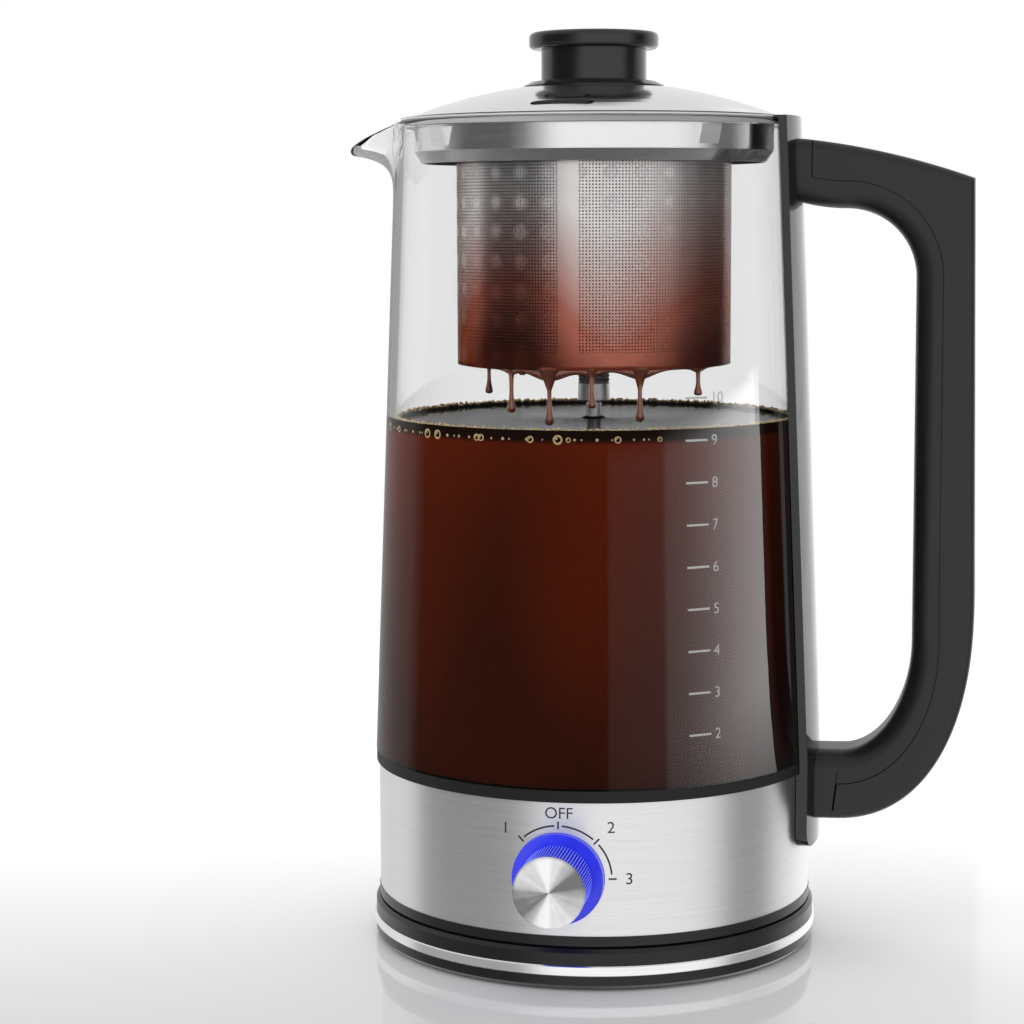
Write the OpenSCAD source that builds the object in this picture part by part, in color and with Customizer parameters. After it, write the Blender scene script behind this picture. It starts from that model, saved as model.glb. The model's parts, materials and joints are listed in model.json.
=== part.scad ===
// Electric coffee percolator: a glass carafe with a brew basket that stands on a powered base.
// Millimetres, +Z up. The origin is the centre of the face that the base stands on.
// The handle is on +X, the spout on -X and the dial on -Y.

/* [Power base] */
// Radius of the base at its steel trim
base_r = 67; // [64:0.5:74]
// Height of the base's top above the table
base_h = 12.1; // [11.6:0.1:15]
// Wall of the base's two covers
base_wall = 2; // [1.6:0.1:2.2]
// Height of the steel trim
trim_h = 3; // [2:0.1:3.4]
// Height of the trim's lower edge above the table
trim_z = 4.5; // [4.2:0.1:5]
// How far the foot ring stands proud of the base's underside
foot_proud = 0.8; // [0.5:0.1:1.2]
// Middle radius of the foot ring
foot_ring_r = 54; // [52:0.5:56]
// Width of the foot ring
foot_w = 8; // [5:0.5:10]
// Radius of the power post
post_r = 13; // [12:0.5:15]
// Height of the power post above the base's top
post_h = 10; // [9:0.5:11]
// Radius of the hole for the cord
cord_r = 3; // [2.5:0.1:3.4]

/* [Kettle bottom] */
// Outer radius of the brushed band
band_r = 65.2; // [63:0.1:66]
// Height of the brushed band
band_h = 38.8; // [38:0.1:46]
// Sheet thickness of the band
band_wall = 0.9; // [0.6:0.1:1.2]
// Visible height of the bottom cover under the band
cover_h = 3.6; // [3:0.1:5]
// Thickness of the heater plate
plate_t = 1.2; // [0.8:0.1:2]
// Radius of the tubular heating element's ring
element_ring_r = 36; // [33:0.5:40]
// Radius of the heating element's sheath
element_r = 3.5; // [3:0.1:4]

/* [Carafe] */
// Outer radius of the glass at its foot
glass_r = 66.1; // [65.5:0.1:67]
// Outer radius of the glass at its rim
glass_top_r = 58.7; // [56:0.1:62]
// Height of the glass
glass_h = 187.1; // [180:0.5:205]
// Thickness of the glass
glass_wall = 2.6; // [2:0.1:3.2]
// How far the spout's tip stands out from the rim
spout_reach = 15.6; // [11:0.2:18]
// How far the spout's tip lies below the rim
spout_drop = 9.3; // [7:0.1:11]
// Half the angle that the spout takes out of the rim, in degrees
spout_angle = 17; // [13:0.5:22]
// Distance between the two rounds of the spout's tip
spout_tip_w = 4.4; // [3:0.1:6]

/* [Lid] */
// Rise of the dome above its rim
dome_rise = 10.3; // [8:0.1:14]
// Sheet thickness of the lid
lid_t = 0.8; // [0.5:0.1:1]
// Depth of the lid's skirt below the rim
skirt_h = 9.9; // [9:0.1:12]
// Depth of the narrower lip below the skirt
lip_h = 3.3; // [2:0.1:5]
// Radius of the lid knob's top
lid_knob_r = 19.1; // [17:0.1:22]
// Thickness of the lid knob's top
lid_knob_t = 4.9; // [4:0.1:7]
// Radius of the lid knob's neck
lid_neck_r = 15.5; // [12:0.1:16]
// Height of the lid knob above the dome's crown
lid_knob_h = 14.4; // [12:0.1:19]
// Radius of the lid knob's foot
lid_foot_r = 20.8; // [18:0.1:24]
// Length of the outer steam slot
vent_l = 18; // [12:0.5:20]
// Width of the steam slots
vent_w = 4; // [2:0.1:4.4]

/* [Brew basket] */
// Outer radius of the basket
basket_r = 40.8; // [36:0.1:43]
// Height of the basket
basket_h = 60.7; // [50:0.1:75]
// How far the basket's top lies below the rim of the glass
basket_drop = 10.6; // [8:0.1:11]
// Thickness of the mesh sleeve
mesh_t = 0.5; // [0.3:0.1:0.8]
// Thickness of the perforated drum inside the mesh
drum_t = 0.8; // [0.5:0.1:1]
// Radius of the drum's holes
drum_hole_r = 2.5; // [2:0.1:3]
// Distance between rows of the drum's holes
drum_pitch = 8.4; // [7:0.1:10]

/* [Pump] */
// Outer radius of the pump tube
tube_r = 2.25; // [2:0.05:3]
// Wall of the pump tube
tube_wall = 0.5; // [0.3:0.1:0.8]
// Radius of the collar that carries the basket
collar_r = 4.75; // [4.2:0.05:6]
// Height of the collar
collar_h = 11.6; // [9:0.1:14]
// Radius of the pump's bell foot
bell_r = 18; // [14:0.5:24]
// Height of the pump's bell foot
bell_h = 14; // [11:0.5:20]

/* [Handle] */
// Distance from the axis to the inner face of the grip
grip_x = 95.2; // [92:0.2:102]
// Thickness of the grip
grip_t = 18.2; // [16:0.2:21]
// Width of the handle
handle_w = 22; // [18:0.5:26]
// Width of the spine along the glass
spine_w = 36; // [30:0.5:40]
// Thickness of the spine
spine_t = 2.4; // [2.2:0.1:3.2]
// Inner radius of the handle's upper bend
bend_r = 20; // [16:0.5:24]
// Height of the lower arm's underside above the band's lower edge
low_arm_z = 23.3; // [22:0.1:26]
// Thickness of the lower arm
low_arm_t = 20.4; // [17:0.1:22]

/* [Dial] */
// Height of the dial's axis above the band's lower edge
dial_up = 16.6; // [16:0.1:20]
// Radius of the lit ring
light_r = 13; // [12.5:0.1:14]
// Radius of the control knob
knob_r = 10; // [9.5:0.1:11.5]
// Length of the control knob
knob_len = 13; // [10:0.1:18]
// Radius of the switch shaft
shaft_r = 3; // [2.5:0.1:3.4]
// Running clearance of the shaft in its bush
shaft_gap = 0.05; // [0.02:0.01:0.08]

/* [Hidden] */

$fn = 96;
// Overlap that keeps cuts clean
cut = 0.1;
// Clearance between pieces that are fixed together
seat = 0.05;
// Clearance between pieces that lift or turn past each other
clear = 0.35;

// Levels of the power base
base_under = foot_proud;
foot_skin = 0.6;
base_floor = base_under + base_wall + foot_skin;
base_roof = base_h - base_wall;
base_inset = 0.5;
trim_top = trim_z + trim_h;
trim_w = 3.2;
trim_edge = 0.3;
trim_in_r = base_r - trim_w;
spigot_t = 2;
foot_groove = 1.3;
boss_r = 3.5;
boss_in = 1.5;
boss_h = 2;
boss_ring_r = foot_ring_r - foot_w / 2 - boss_r - boss_in;
boss_split = base_roof - boss_h;
base_screw_n = 4;
base_screw_first = 45;
gland_low = 0.4;
gland_wall = 1.2;
gland_l = 8;
gland_lip = 1;
gland_z = (base_floor + base_roof) / 2 - gland_low;
gland_r = cord_r + gland_wall;
gland_in = base_r - gland_l;
gland_flange_r = gland_r + gland_lip;
gland_flange_t = 1.3;
rim_round = 1;

// Power post and contacts
post_top = base_h + post_h;
post_flange_w = 8;
post_flange_r = post_r + post_flange_w;
post_flange_t = 2;
post_seat_in = 1;
post_seat_w = 3;
post_edge = 0.8;
slot_up = 1;
slot_floor = base_h + slot_up;
pin_r = 1.9;
sleeve_t = 0.7;
sleeve_r = pin_r + clear;
blade_r = 7.7;
blade_t = 0.6;
ring_t = 0.5;
slot_in = blade_r - blade_t / 2 - clear;
slot_out = blade_r + blade_t / 2 + clear + ring_t;
contact_h = 6;
contact_lift = 2;

// Levels of the kettle
kettle_z = base_h;
cover_wall = 2.2;
cover_edge = 0.8;
cover_proud = 0.2;
cover_spigot_h = 2.6;
cover_spigot_t = 2;
band_z = kettle_z + cover_h;
band_top = band_z + band_h;
plate_top = band_top + plate_t;
cover_floor = kettle_z + cover_wall;
band_in_r = band_r - band_wall;
cover_r = band_r + cover_proud;
spigot_in_r = band_in_r - cover_spigot_t;
dial_z = band_z + dial_up;
stud_ring_r = 54;
stud_n = 3;
stud_first = 90;
stud_r = 3.2;
stud_l = 20;
stud_end = band_top - stud_l;
cover_boss_r = 4;
screw_r = 1.5;
head_r = 3;
head_t = 1.4;
sink = 0.3;
thread_l = 5;
thread_room = 1;
plate_in = 0.2;
band_lip_w = 3;

// Connector under the kettle
socket_gap = 0.6;
socket_r = post_r + socket_gap;
socket_roof = post_top + 2 * socket_gap;
socket_wall = 5.4;
roof_t = 3.7;
con_top = socket_roof + roof_t;
con_r = socket_r + socket_wall;
con_flange_w = 5;
con_flange_t = 2;
con_flange_r = con_r + con_flange_w;
terminal_r = 1.2;

// Heater parts
spreader_r = 48;
spreader_t = 3;
spreader_z = band_top - spreader_t;
element_cut = 0.5;
element_flat = element_r - element_cut;
element_z = spreader_z - element_flat;
element_sweep = 300;
element_start = 120;
element_end = 4;
cold_pin_l = 8;
cold_pin_r = 1.5;
cold_pin_sunk = 2;
cold_pin_end = element_z - element_r - cold_pin_l + cold_pin_sunk;
pin_angles = [element_start + element_end, element_start + element_sweep - element_end];
thermostat_r = 8;
thermostat_h = 9;
thermostat_y = 12;
tag = [3, 0.8, 5];
tag_x = 4;
probe_r = 3;
probe_h = 8;
probe_y = -10;
probe_flange_r = 4.2;
probe_flange_t = 1.5;

// Control board
board_w = 44;
board_d = 24;
board_t = 1.6;
board_gap = 3;
board_y = con_r + board_gap;
board_z = con_top;
board_top = board_z + board_t;
standoff_r = 2.4;
standoff_in = 3;
relay = [20, 12, 10];
relay_y = 9;
header_y = 2;
header_d = 4;
header_h = 7;
header_over = 1;
lead_r = 1.2;
lead_z = board_top + lead_r + seat;
contact_end = lead_z + lead_r;
ribbon_w = 10;
ribbon_t = 0.8;
lead_gap = 1;
ribbon_z = contact_end + lead_gap;

// Distances out from the axis along the dial
light_flange_w = 2;
light_proud = 1.6;
light_room = 0.1;
dial_room = 0.5;
light_flange_r = light_r + light_flange_w;
light_flange_t = 1.8;
light_seat = sqrt(band_in_r * band_in_r - light_flange_r * light_flange_r) - seat;
light_face = band_r + light_proud;
led_n = 8;
led_w = 1.8;
led_h = 1.2;
led_room = 0.8;
led_in = 2.6;
led_ring_r = light_r - led_in;
led_board_t = 1.4;
led_board_in = 1;
led_board_d = light_seat - light_flange_t - led_board_t;
switch_r = 8.2;
switch_l = 12;
bush_wall = 0.7;
bush_r = shaft_r + shaft_gap + bush_wall;
nut_flats = 10;
nut_r = nut_flats / 2 / cos(30);
nut_t = 2.2;
nut_room = 1.2;
bush_out = 1.5;
bush_end = light_face + nut_t + bush_out;
knob_gap = 0.6;
knob_back = light_face + knob_gap;
knob_front = knob_back + knob_len;
knob_teeth = 72;
tooth_h = 0.45;
cap_out = 0.1;
cap_edge = 0.4;
cap_rim = 1;
knob_cap_r = knob_r + cap_out;
knob_cap_t = 1.2;
shaft_skin = 2;
flat_depth = 0.6;
shaft_in = led_board_d - switch_l + shaft_skin;
shaft_end = knob_front - shaft_skin;
shaft_flat = shaft_r - flat_depth;

// Carafe
seal_t = 1.8;
glass_z = plate_top + seal_t;
glass_top = glass_z + glass_h;
glass_lean = (glass_r - glass_top_r) / glass_h;
seal_in = 3.9;
seal_w = glass_wall + seal_in;
seal_lip_h = 3;
seal_edge = 0.8;
seal_inset = 0.1;
seal_over = 0.4;
seal_skirt_w = 0.6;
seal_r = max(glass_r - seal_inset, band_r + seal_skirt_w);
seal_low = band_top - seal_over;
rim_edge_h = 1;
rim_edge_w = 0.5;
tip_r = 1.4;
spout_wall = 2.2;
spout_root = 14;
spout_root_in = 1;
tip_lift = 0.6;
ball_fn = 14;
rim_ball_in = 0.23;
rim_ball_down = 0.37;
spout_half = glass_top_r * sin(spout_angle);
// Outer radius of the glass at height z
function glass_at(z) = glass_r - glass_lean * (z - glass_z);

// Lid
gasket_t = 0.6;
lid_z = glass_top + sink + gasket_t;
gasket_in = 1.5;
gasket_r = glass_top_r - gasket_in;
rim_t = 0.3;
gasket_out = 2.7;
lid_r = gasket_r - gasket_out;
dome_r = (lid_r * lid_r + dome_rise * dome_rise) / (2 * dome_rise);
dome_centre = lid_z + rim_t + dome_rise - dome_r;
crown = dome_centre + dome_r;
plug_h = 2.3;
plug_w = 2.8;
lip_in = 2;
mouth_r = glass_at(glass_top - plug_h - gasket_t) - glass_wall;
plug_r = mouth_r - sink;
skirt_r = plug_r - plug_w;
lip_r = skirt_r - lip_in;
dome_seat = 1.5;
dome_steps = 16;
tab_n = 4;
tab_w = 6.8;
tab_h = 5.4;
tab_out = 1.8;
tab_foot = 0.3;
tab_z = lid_z - plug_h - gasket_t - sink - tab_h;
lid_screw_r = 2;
washer_r = 6;
washer_t = 0.8;
washer_top = dome_at(washer_r, lid_t) - seat;
lid_head_r = 3.6;
lid_head_t = 2.2;
lid_screw_in = 8;
knob_foot_t = 1.2;
knob_foot_edge = 2.4;
knob_foot_rise = 0.5;
knob_edge = 1.5;
knob_edge_steps = 5;
vent_in = 6.1;
vent_ring_r = skirt_r - vent_in;
vent_pitch = 7;
vent_shorter = 5;
vent_angle = 268;
// Height of the dome's outer face, or of a face t inside it, at radius r
function dome_at(r, t) = dome_centre + sqrt(pow(dome_r - t, 2) - r * r);

// Basket and pump
basket_top = glass_top - basket_drop;
basket_z = basket_top - basket_h;
drum_gap = 0.8;
drum_r = basket_r - mesh_t - drum_gap;
drum_n = floor(2 * PI * drum_r / drum_pitch);
drum_first = 5.5;
drum_rows = floor((basket_h - drum_first) / drum_pitch);
floor_t = 0.8;
sleeve_in = tube_r + clear;
sleeve_wall = 0.8;
rim_h = 0.9;
rim_in = 0.4;
rim_out = 0.6;
cover_t = 1;
cover_lip = 1.2;
cover_lip_w = 2;
sleeve_drop = 6;
tube_lift = 4;
tube_out = 2.5;
tube_top = basket_top + cover_t + cover_lip + tube_out;
collar_edge = 0.6;
bell_t = 1;
bell_rim_h = 3;
bell_neck_h = 4;
bell_neck_w = 2;
bell_in = 6;
bell_notch = [6, 6, 1.6];
bell_notch_n = 4;
hole_fn = 24;
drain_rings = 3;
drain_n = 8;
drain_first = 12;
drain_pitch = 8;
drain_r = 1.5;
rib_n = 5;
rib_pitch = 1.1;
rib_h = 0.35;

// Handle
foot_r = max(glass_r, band_r);
spine_lean = (foot_r - glass_top_r) / glass_h;
spine_up = 15.8;
spine_over = 0.8;
spine_skin = 0.8;
spine_bottom = band_z + spine_up;
spine_top = glass_top + spine_over;
spine_gap = 0.15;
spine_step = 0.3;
spine_round = 5;
// Outer radius of the spine at height z
function spine_at(z) = foot_r + spine_t - spine_lean * (max(z, glass_z) - glass_z);

arm_drop = 5.5;
arm_lean = 5.2;
arm_curve = 6.6;
arm_in_drop = 25.8;
arm_in_slope = 0.15;
arm_start = 50;
arm_root = 60;
corner_in = 1.9;
corner_x = grip_x + grip_t - corner_in;
bend_x = grip_x - bend_r;
bend_z = glass_top - arm_in_drop - bend_r;
low_z = band_z + low_arm_z;
grip_lean = 0.2;
low_in_a = bend_r + 2 * grip_lean;
low_in_b = 33.6;
low_in_x = grip_x + grip_lean - low_in_a;
low_in_z = low_z + low_arm_t + low_in_b;
low_out_more = 0.9;
low_out_a = 2 * bend_r + low_out_more;
low_out_b = 66;
low_out_x = grip_x + grip_t - low_out_a;
low_out_z = low_z + low_out_b;
low_power = 2.3;
low_in_slope = 0.127;
low_out_slope = 0.11;
edge_in = 6;
edge_out = 2.8;
edge_steps = 4;
bend_steps = 12;
part_in = 8;
seam_gap = 0.15;
seam_top_out = 4;
seam_low_out = 3;
seam_top_x = spine_at(glass_top) + seam_top_out;
seam_low_x = spine_at(glass_z) + seam_low_out;
seam_side = 0.6;
seam_under = 1.6;
seam_low_under = 2.2;
seam_foot_out = 3;
block_over = 20;
block_under = 12;
top_screw_up = 1;
top_screw_z = bend_z + bend_r + part_in / 2 + top_screw_up;
low_screw_z = low_z + low_arm_t - part_in / 2;
sunk_head_t = 1.2;
band_screw_up = [4, 12.5];
band_screw_z = [for (u = band_screw_up) spine_bottom + u];
handle_screw_l = 11;

// Distance out to the inner face of a screw head sunk in the spine at height z
function head_at(z) = spine_at(z) - spine_t + 2 * spine_gap;

// Height of the upper arm's top edge at distance x from the axis
function arm_top(x) = let (t = (x - arm_root) / (corner_x - arm_root))
    glass_top - arm_drop - arm_lean * t - arm_curve * t * t;

// Point on the straight back of the grip at height z
function grip_back(z) = let (t = (z - low_out_z) / (arm_top(corner_x) - low_out_z))
    [grip_x + grip_t - t * (grip_x + grip_t - corner_x), z];

// Pairs of an inner and an outer outline point, from the upper arm round to the lower arm
function upper_arm() = [for (k = [0 : 3])
    let (x = arm_start + k / 3 * (bend_x - arm_start))
    [[x, bend_z + bend_r + arm_in_slope * (bend_x - x)], [x, arm_top(x)]]];
function upper_bend() = [for (k = [1 : bend_steps])
    let (a = 90 - 90 * k / bend_steps, s = (90 - a) / 45, x = bend_x + (corner_x - bend_x) * min(s, 1))
    [
        [bend_x + bend_r * cos(a), bend_z + bend_r * sin(a)],
        s <= 1 ? [x, arm_top(x)] : grip_back(arm_top(corner_x) + (s - 1) * (bend_z - arm_top(corner_x)))
    ]];
function grip_run() = [for (k = [1 : 4])
    let (t = k / 4)
    [
        [grip_x + grip_lean * t, bend_z + t * (low_in_z - bend_z)],
        grip_back(bend_z + t * (low_out_z - bend_z))
    ]];
function lower_bend() = [for (k = [1 : bend_steps])
    let (a = 90 * k / bend_steps, p = 2 / low_power)
    [
        [low_in_x + low_in_a * cos(a), low_in_z - low_in_b * sin(a)],
        [low_out_x + low_out_a * pow(max(cos(a), 0), p), low_out_z - low_out_b * pow(sin(a), p)]
    ]];
function lower_arm() = [for (k = [1 : 3])
    let (t = k / 3)
    [
        [low_in_x + t * (arm_start - low_in_x),
            low_in_z - low_in_b - low_in_slope * t * (low_in_x - arm_start)],
        [low_out_x + t * (arm_start - low_out_x),
            low_z - low_out_slope * t * (low_out_x - arm_start)]
    ]];

// Points of a rounded section, as distance from the inner edge and distance from the middle
function section_round(l) = let (h = handle_w / 2) [
    for (k = [0 : edge_steps]) let (a = 180 - 90 * k / edge_steps)
        [edge_in + edge_in * cos(a), h - edge_in + edge_in * sin(a)],
    for (k = [0 : edge_steps]) let (a = 90 - 90 * k / edge_steps)
        [l - edge_out + edge_out * cos(a), h - edge_out + edge_out * sin(a)],
    for (k = [0 : edge_steps]) let (a = -90 * k / edge_steps)
        [l - edge_out + edge_out * cos(a), edge_out - h + edge_out * sin(a)],
    for (k = [0 : edge_steps]) let (a = -90 - 90 * k / edge_steps)
        [edge_in + edge_in * cos(a), edge_in - h + edge_in * sin(a)]
];

// One ring of the handle: the section set across a pair of outline points
function handle_ring(pair) = let (d = pair[1] - pair[0], l = norm(d), u = d / l)
    [for (q = section_round(l)) [pair[0][0] + u[0] * q[0], q[1], pair[0][1] + u[1] * q[0]]];

// Turned solid with a chamfered or plain profile of [radius, height] points
module turned(points) {
    rotate_extrude() polygon(points);
}

// Ring with inner radius a, outer radius b, from height z0 to z1
module ring(a, b, z0, z1) {
    translate([0, 0, z0]) difference() {
        cylinder(r = b, h = z1 - z0);
        translate([0, 0, -cut]) cylinder(r = a, h = z1 - z0 + 2 * cut);
    }
}

// Upright cylinder from height z0 to z1
module post(r, z0, z1) {
    translate([0, 0, z0]) cylinder(r = r, h = z1 - z0);
}

// Copies children round the axis at radius r, from a first angle
module around(n, r, first = 0) {
    for (k = [0 : n - 1]) rotate([0, 0, first + 360 * k / n]) translate([r, 0, 0]) children();
}

// Sets children on the dial's axis, d out from the middle of the kettle
module at_dial(d) {
    translate([0, 0, dial_z]) rotate([90, 0, 0]) translate([0, 0, d]) children();
}

// Cylinder on the dial's axis from d0 to d1
module dial_post(r, d0, d1) {
    at_dial(d0) cylinder(r = r, h = d1 - d0);
}

// Cylinder that runs out along +X from x0 to x1 at height z
module x_post(r, x0, x1, z) {
    translate([x0, 0, z]) rotate([0, 90, 0]) cylinder(r = r, h = x1 - x0);
}

// Cylinder that runs out along +Y from y0 to y1 at height z
module y_post(r, y0, y1, x, z) {
    translate([x, y0, z]) rotate([-90, 0, 0]) cylinder(r = r, h = y1 - y0);
}

module gland_hole() {
    y_post(gland_r + seat, gland_in - cut, base_r + cut, 0, gland_z);
}

module base_lower_cover() {
    color("#1b1b1c") difference() {
        union() {
            turned([
                [0, base_under], [base_r - base_inset - rim_round, base_under],
                [base_r - base_inset, base_under + rim_round], [base_r - base_inset, trim_z],
                [trim_in_r - spigot_t, trim_z], [trim_in_r - spigot_t, base_floor], [0, base_floor]
            ]);
            ring(trim_in_r - spigot_t - seat, trim_in_r - seat, trim_z - cut, trim_top);
            ring(post_flange_r - post_seat_in - post_seat_w, post_flange_r - post_seat_in,
                base_floor - cut, boss_split);
            around(base_screw_n, boss_ring_r, base_screw_first) post(boss_r, base_floor - cut, boss_split);
        }
        ring(foot_ring_r - foot_w / 2 - seat, foot_ring_r + foot_w / 2 + seat,
            base_under - cut, base_under + foot_groove);
        around(base_screw_n, boss_ring_r, base_screw_first) {
            post(screw_r + seat, 0, base_h);
            post(head_r + seat, 0, base_under + head_t + sink);
        }
        gland_hole();
    }
}

module base_foot_ring() {
    color("#262626") ring(foot_ring_r - foot_w / 2, foot_ring_r + foot_w / 2, 0, base_under + foot_groove);
}

module base_trim_ring() {
    color("#c9cacc") difference() {
        turned([
            [trim_in_r, trim_z], [base_r - trim_edge, trim_z], [base_r, trim_z + trim_edge],
            [base_r, trim_top - trim_edge], [base_r - trim_edge, trim_top], [trim_in_r, trim_top]
        ]);
        gland_hole();
    }
}

module base_upper_cover() {
    color("#1b1b1c") difference() {
        union() {
            turned([
                [post_r + clear, base_roof], [trim_in_r, base_roof], [trim_in_r, trim_top],
                [base_r - base_inset, trim_top], [base_r - base_inset, base_h - rim_round],
                [base_r - base_inset - rim_round, base_h], [post_r + clear, base_h]
            ]);
            around(base_screw_n, boss_ring_r, base_screw_first) post(boss_r, boss_split, base_roof + cut);
        }
        around(base_screw_n, boss_ring_r, base_screw_first) post(screw_r + seat, 0, base_roof);
        gland_hole();
    }
}

module base_connector() {
    color("#232324") difference() {
        union() {
            post(post_flange_r, boss_split, boss_split + post_flange_t);
            turned([
                [0, boss_split], [post_r, boss_split], [post_r, post_top - post_edge],
                [post_r - post_edge, post_top], [0, post_top]
            ]);
        }
        ring(slot_in, slot_out, slot_floor, post_top + cut);
        post(sleeve_r + sleeve_t, slot_floor, post_top + cut);
    }
}

module base_contacts() {
    color("#b8903f") {
        ring(sleeve_r, sleeve_r + sleeve_t - seat, slot_floor, slot_floor + contact_h);
        ring(slot_out - ring_t, slot_out - seat, slot_floor, slot_floor + contact_h);
    }
}

module base_screws() {
    color("#8d8f92") around(base_screw_n, boss_ring_r, base_screw_first) {
        post(head_r, base_under + sink, base_under + sink + head_t);
        post(screw_r, base_under + sink, base_roof - sink);
    }
}

module cord_gland() {
    color("#141414") difference() {
        union() {
            y_post(gland_r, gland_in, base_r + seat, 0, gland_z);
            y_post(gland_flange_r, base_r + seat, base_r + seat + gland_flange_t, 0, gland_z);
        }
        y_post(cord_r, gland_in - cut, base_r + 2 * gland_flange_t, 0, gland_z);
    }
}

module kettle_bottom_cover() {
    color("#1b1b1c") difference() {
        union() {
            turned([
                [con_r + seat, kettle_z], [cover_r - cover_edge, kettle_z],
                [cover_r, kettle_z + cover_edge], [cover_r, band_z],
                [band_in_r - seat, band_z], [band_in_r - seat, band_z + cover_spigot_h],
                [spigot_in_r, band_z + cover_spigot_h], [spigot_in_r, cover_floor],
                [con_r + seat, cover_floor]
            ]);
            around(stud_n, stud_ring_r, stud_first) post(cover_boss_r, cover_floor - cut, stud_end);
            for (s = [-1, 1], y = [standoff_in, board_d - standoff_in])
                translate([s * (board_w / 2 - standoff_in), board_y + y, 0])
                    post(standoff_r, cover_floor - cut, board_z);
        }
        around(stud_n, stud_ring_r, stud_first) {
            post(screw_r + seat, 0, stud_end + cut);
            post(head_r + seat, 0, kettle_z + head_t + sink);
        }
        dial_post(light_flange_r + dial_room, led_board_d - 2 * dial_room, band_r - cut);
    }
}

module bottom_screws() {
    color("#8d8f92") around(stud_n, stud_ring_r, stud_first) {
        post(head_r, kettle_z + sink, kettle_z + sink + head_t);
        post(screw_r, kettle_z + sink, stud_end + thread_l);
    }
}

module kettle_connector() {
    color("#232324") difference() {
        union() {
            post(con_r, kettle_z + sink, con_top);
            post(con_flange_r, cover_floor, cover_floor + con_flange_t);
        }
        post(socket_r, kettle_z, socket_roof);
        post(pin_r + seat, socket_roof - cut, con_top + cut);
        translate([blade_r, 0, 0]) post(terminal_r + seat, socket_roof - cut, con_top + cut);
    }
}

module kettle_contacts() {
    color("#b8903f") {
        post(pin_r, slot_floor + contact_lift, contact_end);
        ring(blade_r - blade_t / 2, blade_r + blade_t / 2, slot_floor + contact_lift, socket_roof);
        translate([blade_r, 0, 0]) post(terminal_r, socket_roof - cut, contact_end);
    }
}

module steel_band() {
    color("#c4c6c8") difference() {
        turned([
            [band_in_r, band_z], [band_r, band_z], [band_r, band_top], [band_in_r - band_lip_w, band_top],
            [band_in_r - band_lip_w, band_top - band_wall], [band_in_r, band_top - band_wall]
        ]);
        dial_post(light_r + light_room, light_seat - light_flange_t, light_face);
        for (z = band_screw_z) x_post(screw_r + seat, band_in_r - head_t, band_r + head_t, z);
    }
}

module heater_plate() {
    color("#b3b5b8") difference() {
        union() {
            post(band_r - plate_in, band_top, plate_top);
            around(stud_n, stud_ring_r, stud_first) post(stud_r, stud_end, band_top + cut);
        }
        around(stud_n, stud_ring_r, stud_first) 
            post(screw_r + seat, stud_end - cut, stud_end + thread_l + thread_room);
    }
}

module heat_spreader() {
    color("#d3d4d6") post(spreader_r, spreader_z, band_top);
}

module heating_element() {
    color("#6d6f72") {
        translate([0, 0, element_z]) rotate([0, 0, element_start])
            rotate_extrude(angle = element_sweep) translate([element_ring_r, 0]) intersection() {
                circle(r = element_r);
                translate([-element_r, -element_r]) square([2 * element_r, element_r + element_flat]);
            }
        for (a = pin_angles) rotate([0, 0, a])
            translate([element_ring_r, 0, 0]) post(cold_pin_r, cold_pin_end, element_z);
    }
}

module thermostat() {
    color("#3a3b3d") translate([0, thermostat_y, 0]) {
        post(thermostat_r, spreader_z - thermostat_h, spreader_z);
        for (s = [-1, 1])
            translate([s * tag_x - tag[0] / 2, -tag[1] / 2, spreader_z - thermostat_h - tag[2]])
                cube(tag + [0, 0, cut]);
    }
}

module temperature_probe() {
    color("#9fa1a4") translate([0, probe_y, 0]) {
        post(probe_r, spreader_z - probe_h, spreader_z);
        post(probe_flange_r, spreader_z - probe_flange_t, spreader_z);
    }
}

module control_board() {
    color("#1f5a34") translate([0, board_y, 0]) {
        translate([-board_w / 2, 0, board_z]) cube([board_w, board_d, board_t]);
        translate([-relay[0] / 2, relay_y, board_top - cut]) cube(relay);
        translate([-ribbon_w / 2 - header_over, header_y, board_top - cut])
            cube([ribbon_w + 2 * header_over, header_d, header_h]);
    }
}

module heater_leads() {
    color("#b43a30") for (a = pin_angles) rotate([0, 0, a])
        translate([element_ring_r, 0, 0]) post(lead_r, board_top, cold_pin_end);
}

module supply_leads() {
    color("#7a4a2a") {
        y_post(lead_r, pin_r, board_y + header_y - seat, 0, lead_z);
        y_post(lead_r, terminal_r, board_y + relay_y - lead_gap, blade_r, lead_z);
    }
}

module ribbon_lead() {
    color("#8a8c90") translate([-ribbon_w / 2, -led_board_d + switch_l, ribbon_z])
        cube([ribbon_w, led_board_d - switch_l + board_y + header_y, ribbon_t]);
}

module light_ring() {
    color("#3a48ff") difference() {
        union() {
            dial_post(light_r, light_seat - cut, light_face);
            dial_post(light_flange_r, light_seat - light_flange_t, light_seat);
        }
        dial_post(bush_r + seat, 0, light_face + cut);
        at_dial(light_seat - light_flange_t - cut)
            ring(led_ring_r - led_w, led_ring_r + led_w, 0, led_h + led_room + cut);
    }
}

module light_board() {
    color("#e8e8e4") {
        at_dial(led_board_d) ring(bush_r + seat, light_flange_r - led_board_in, 0, led_board_t);
        at_dial(led_board_d + led_board_t - cut) around(led_n, led_ring_r)
            translate([-led_w / 2, -led_w / 2, 0]) cube([led_w, led_w, led_h + cut]);
    }
}

module rotary_switch() {
    color("#2c2d30") difference() {
        union() {
            dial_post(switch_r, led_board_d - switch_l, led_board_d);
            dial_post(bush_r, led_board_d - cut, bush_end);
        }
        dial_post(shaft_r + shaft_gap, shaft_in - sink, bush_end + cut);
    }
}

module switch_nut() {
    color("#9c9ea2") at_dial(light_face) difference() {
        cylinder(r = nut_r, h = nut_t, $fn = 6);
        translate([0, 0, -cut]) cylinder(r = bush_r + seat, h = nut_t + 2 * cut);
    }
}

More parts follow.
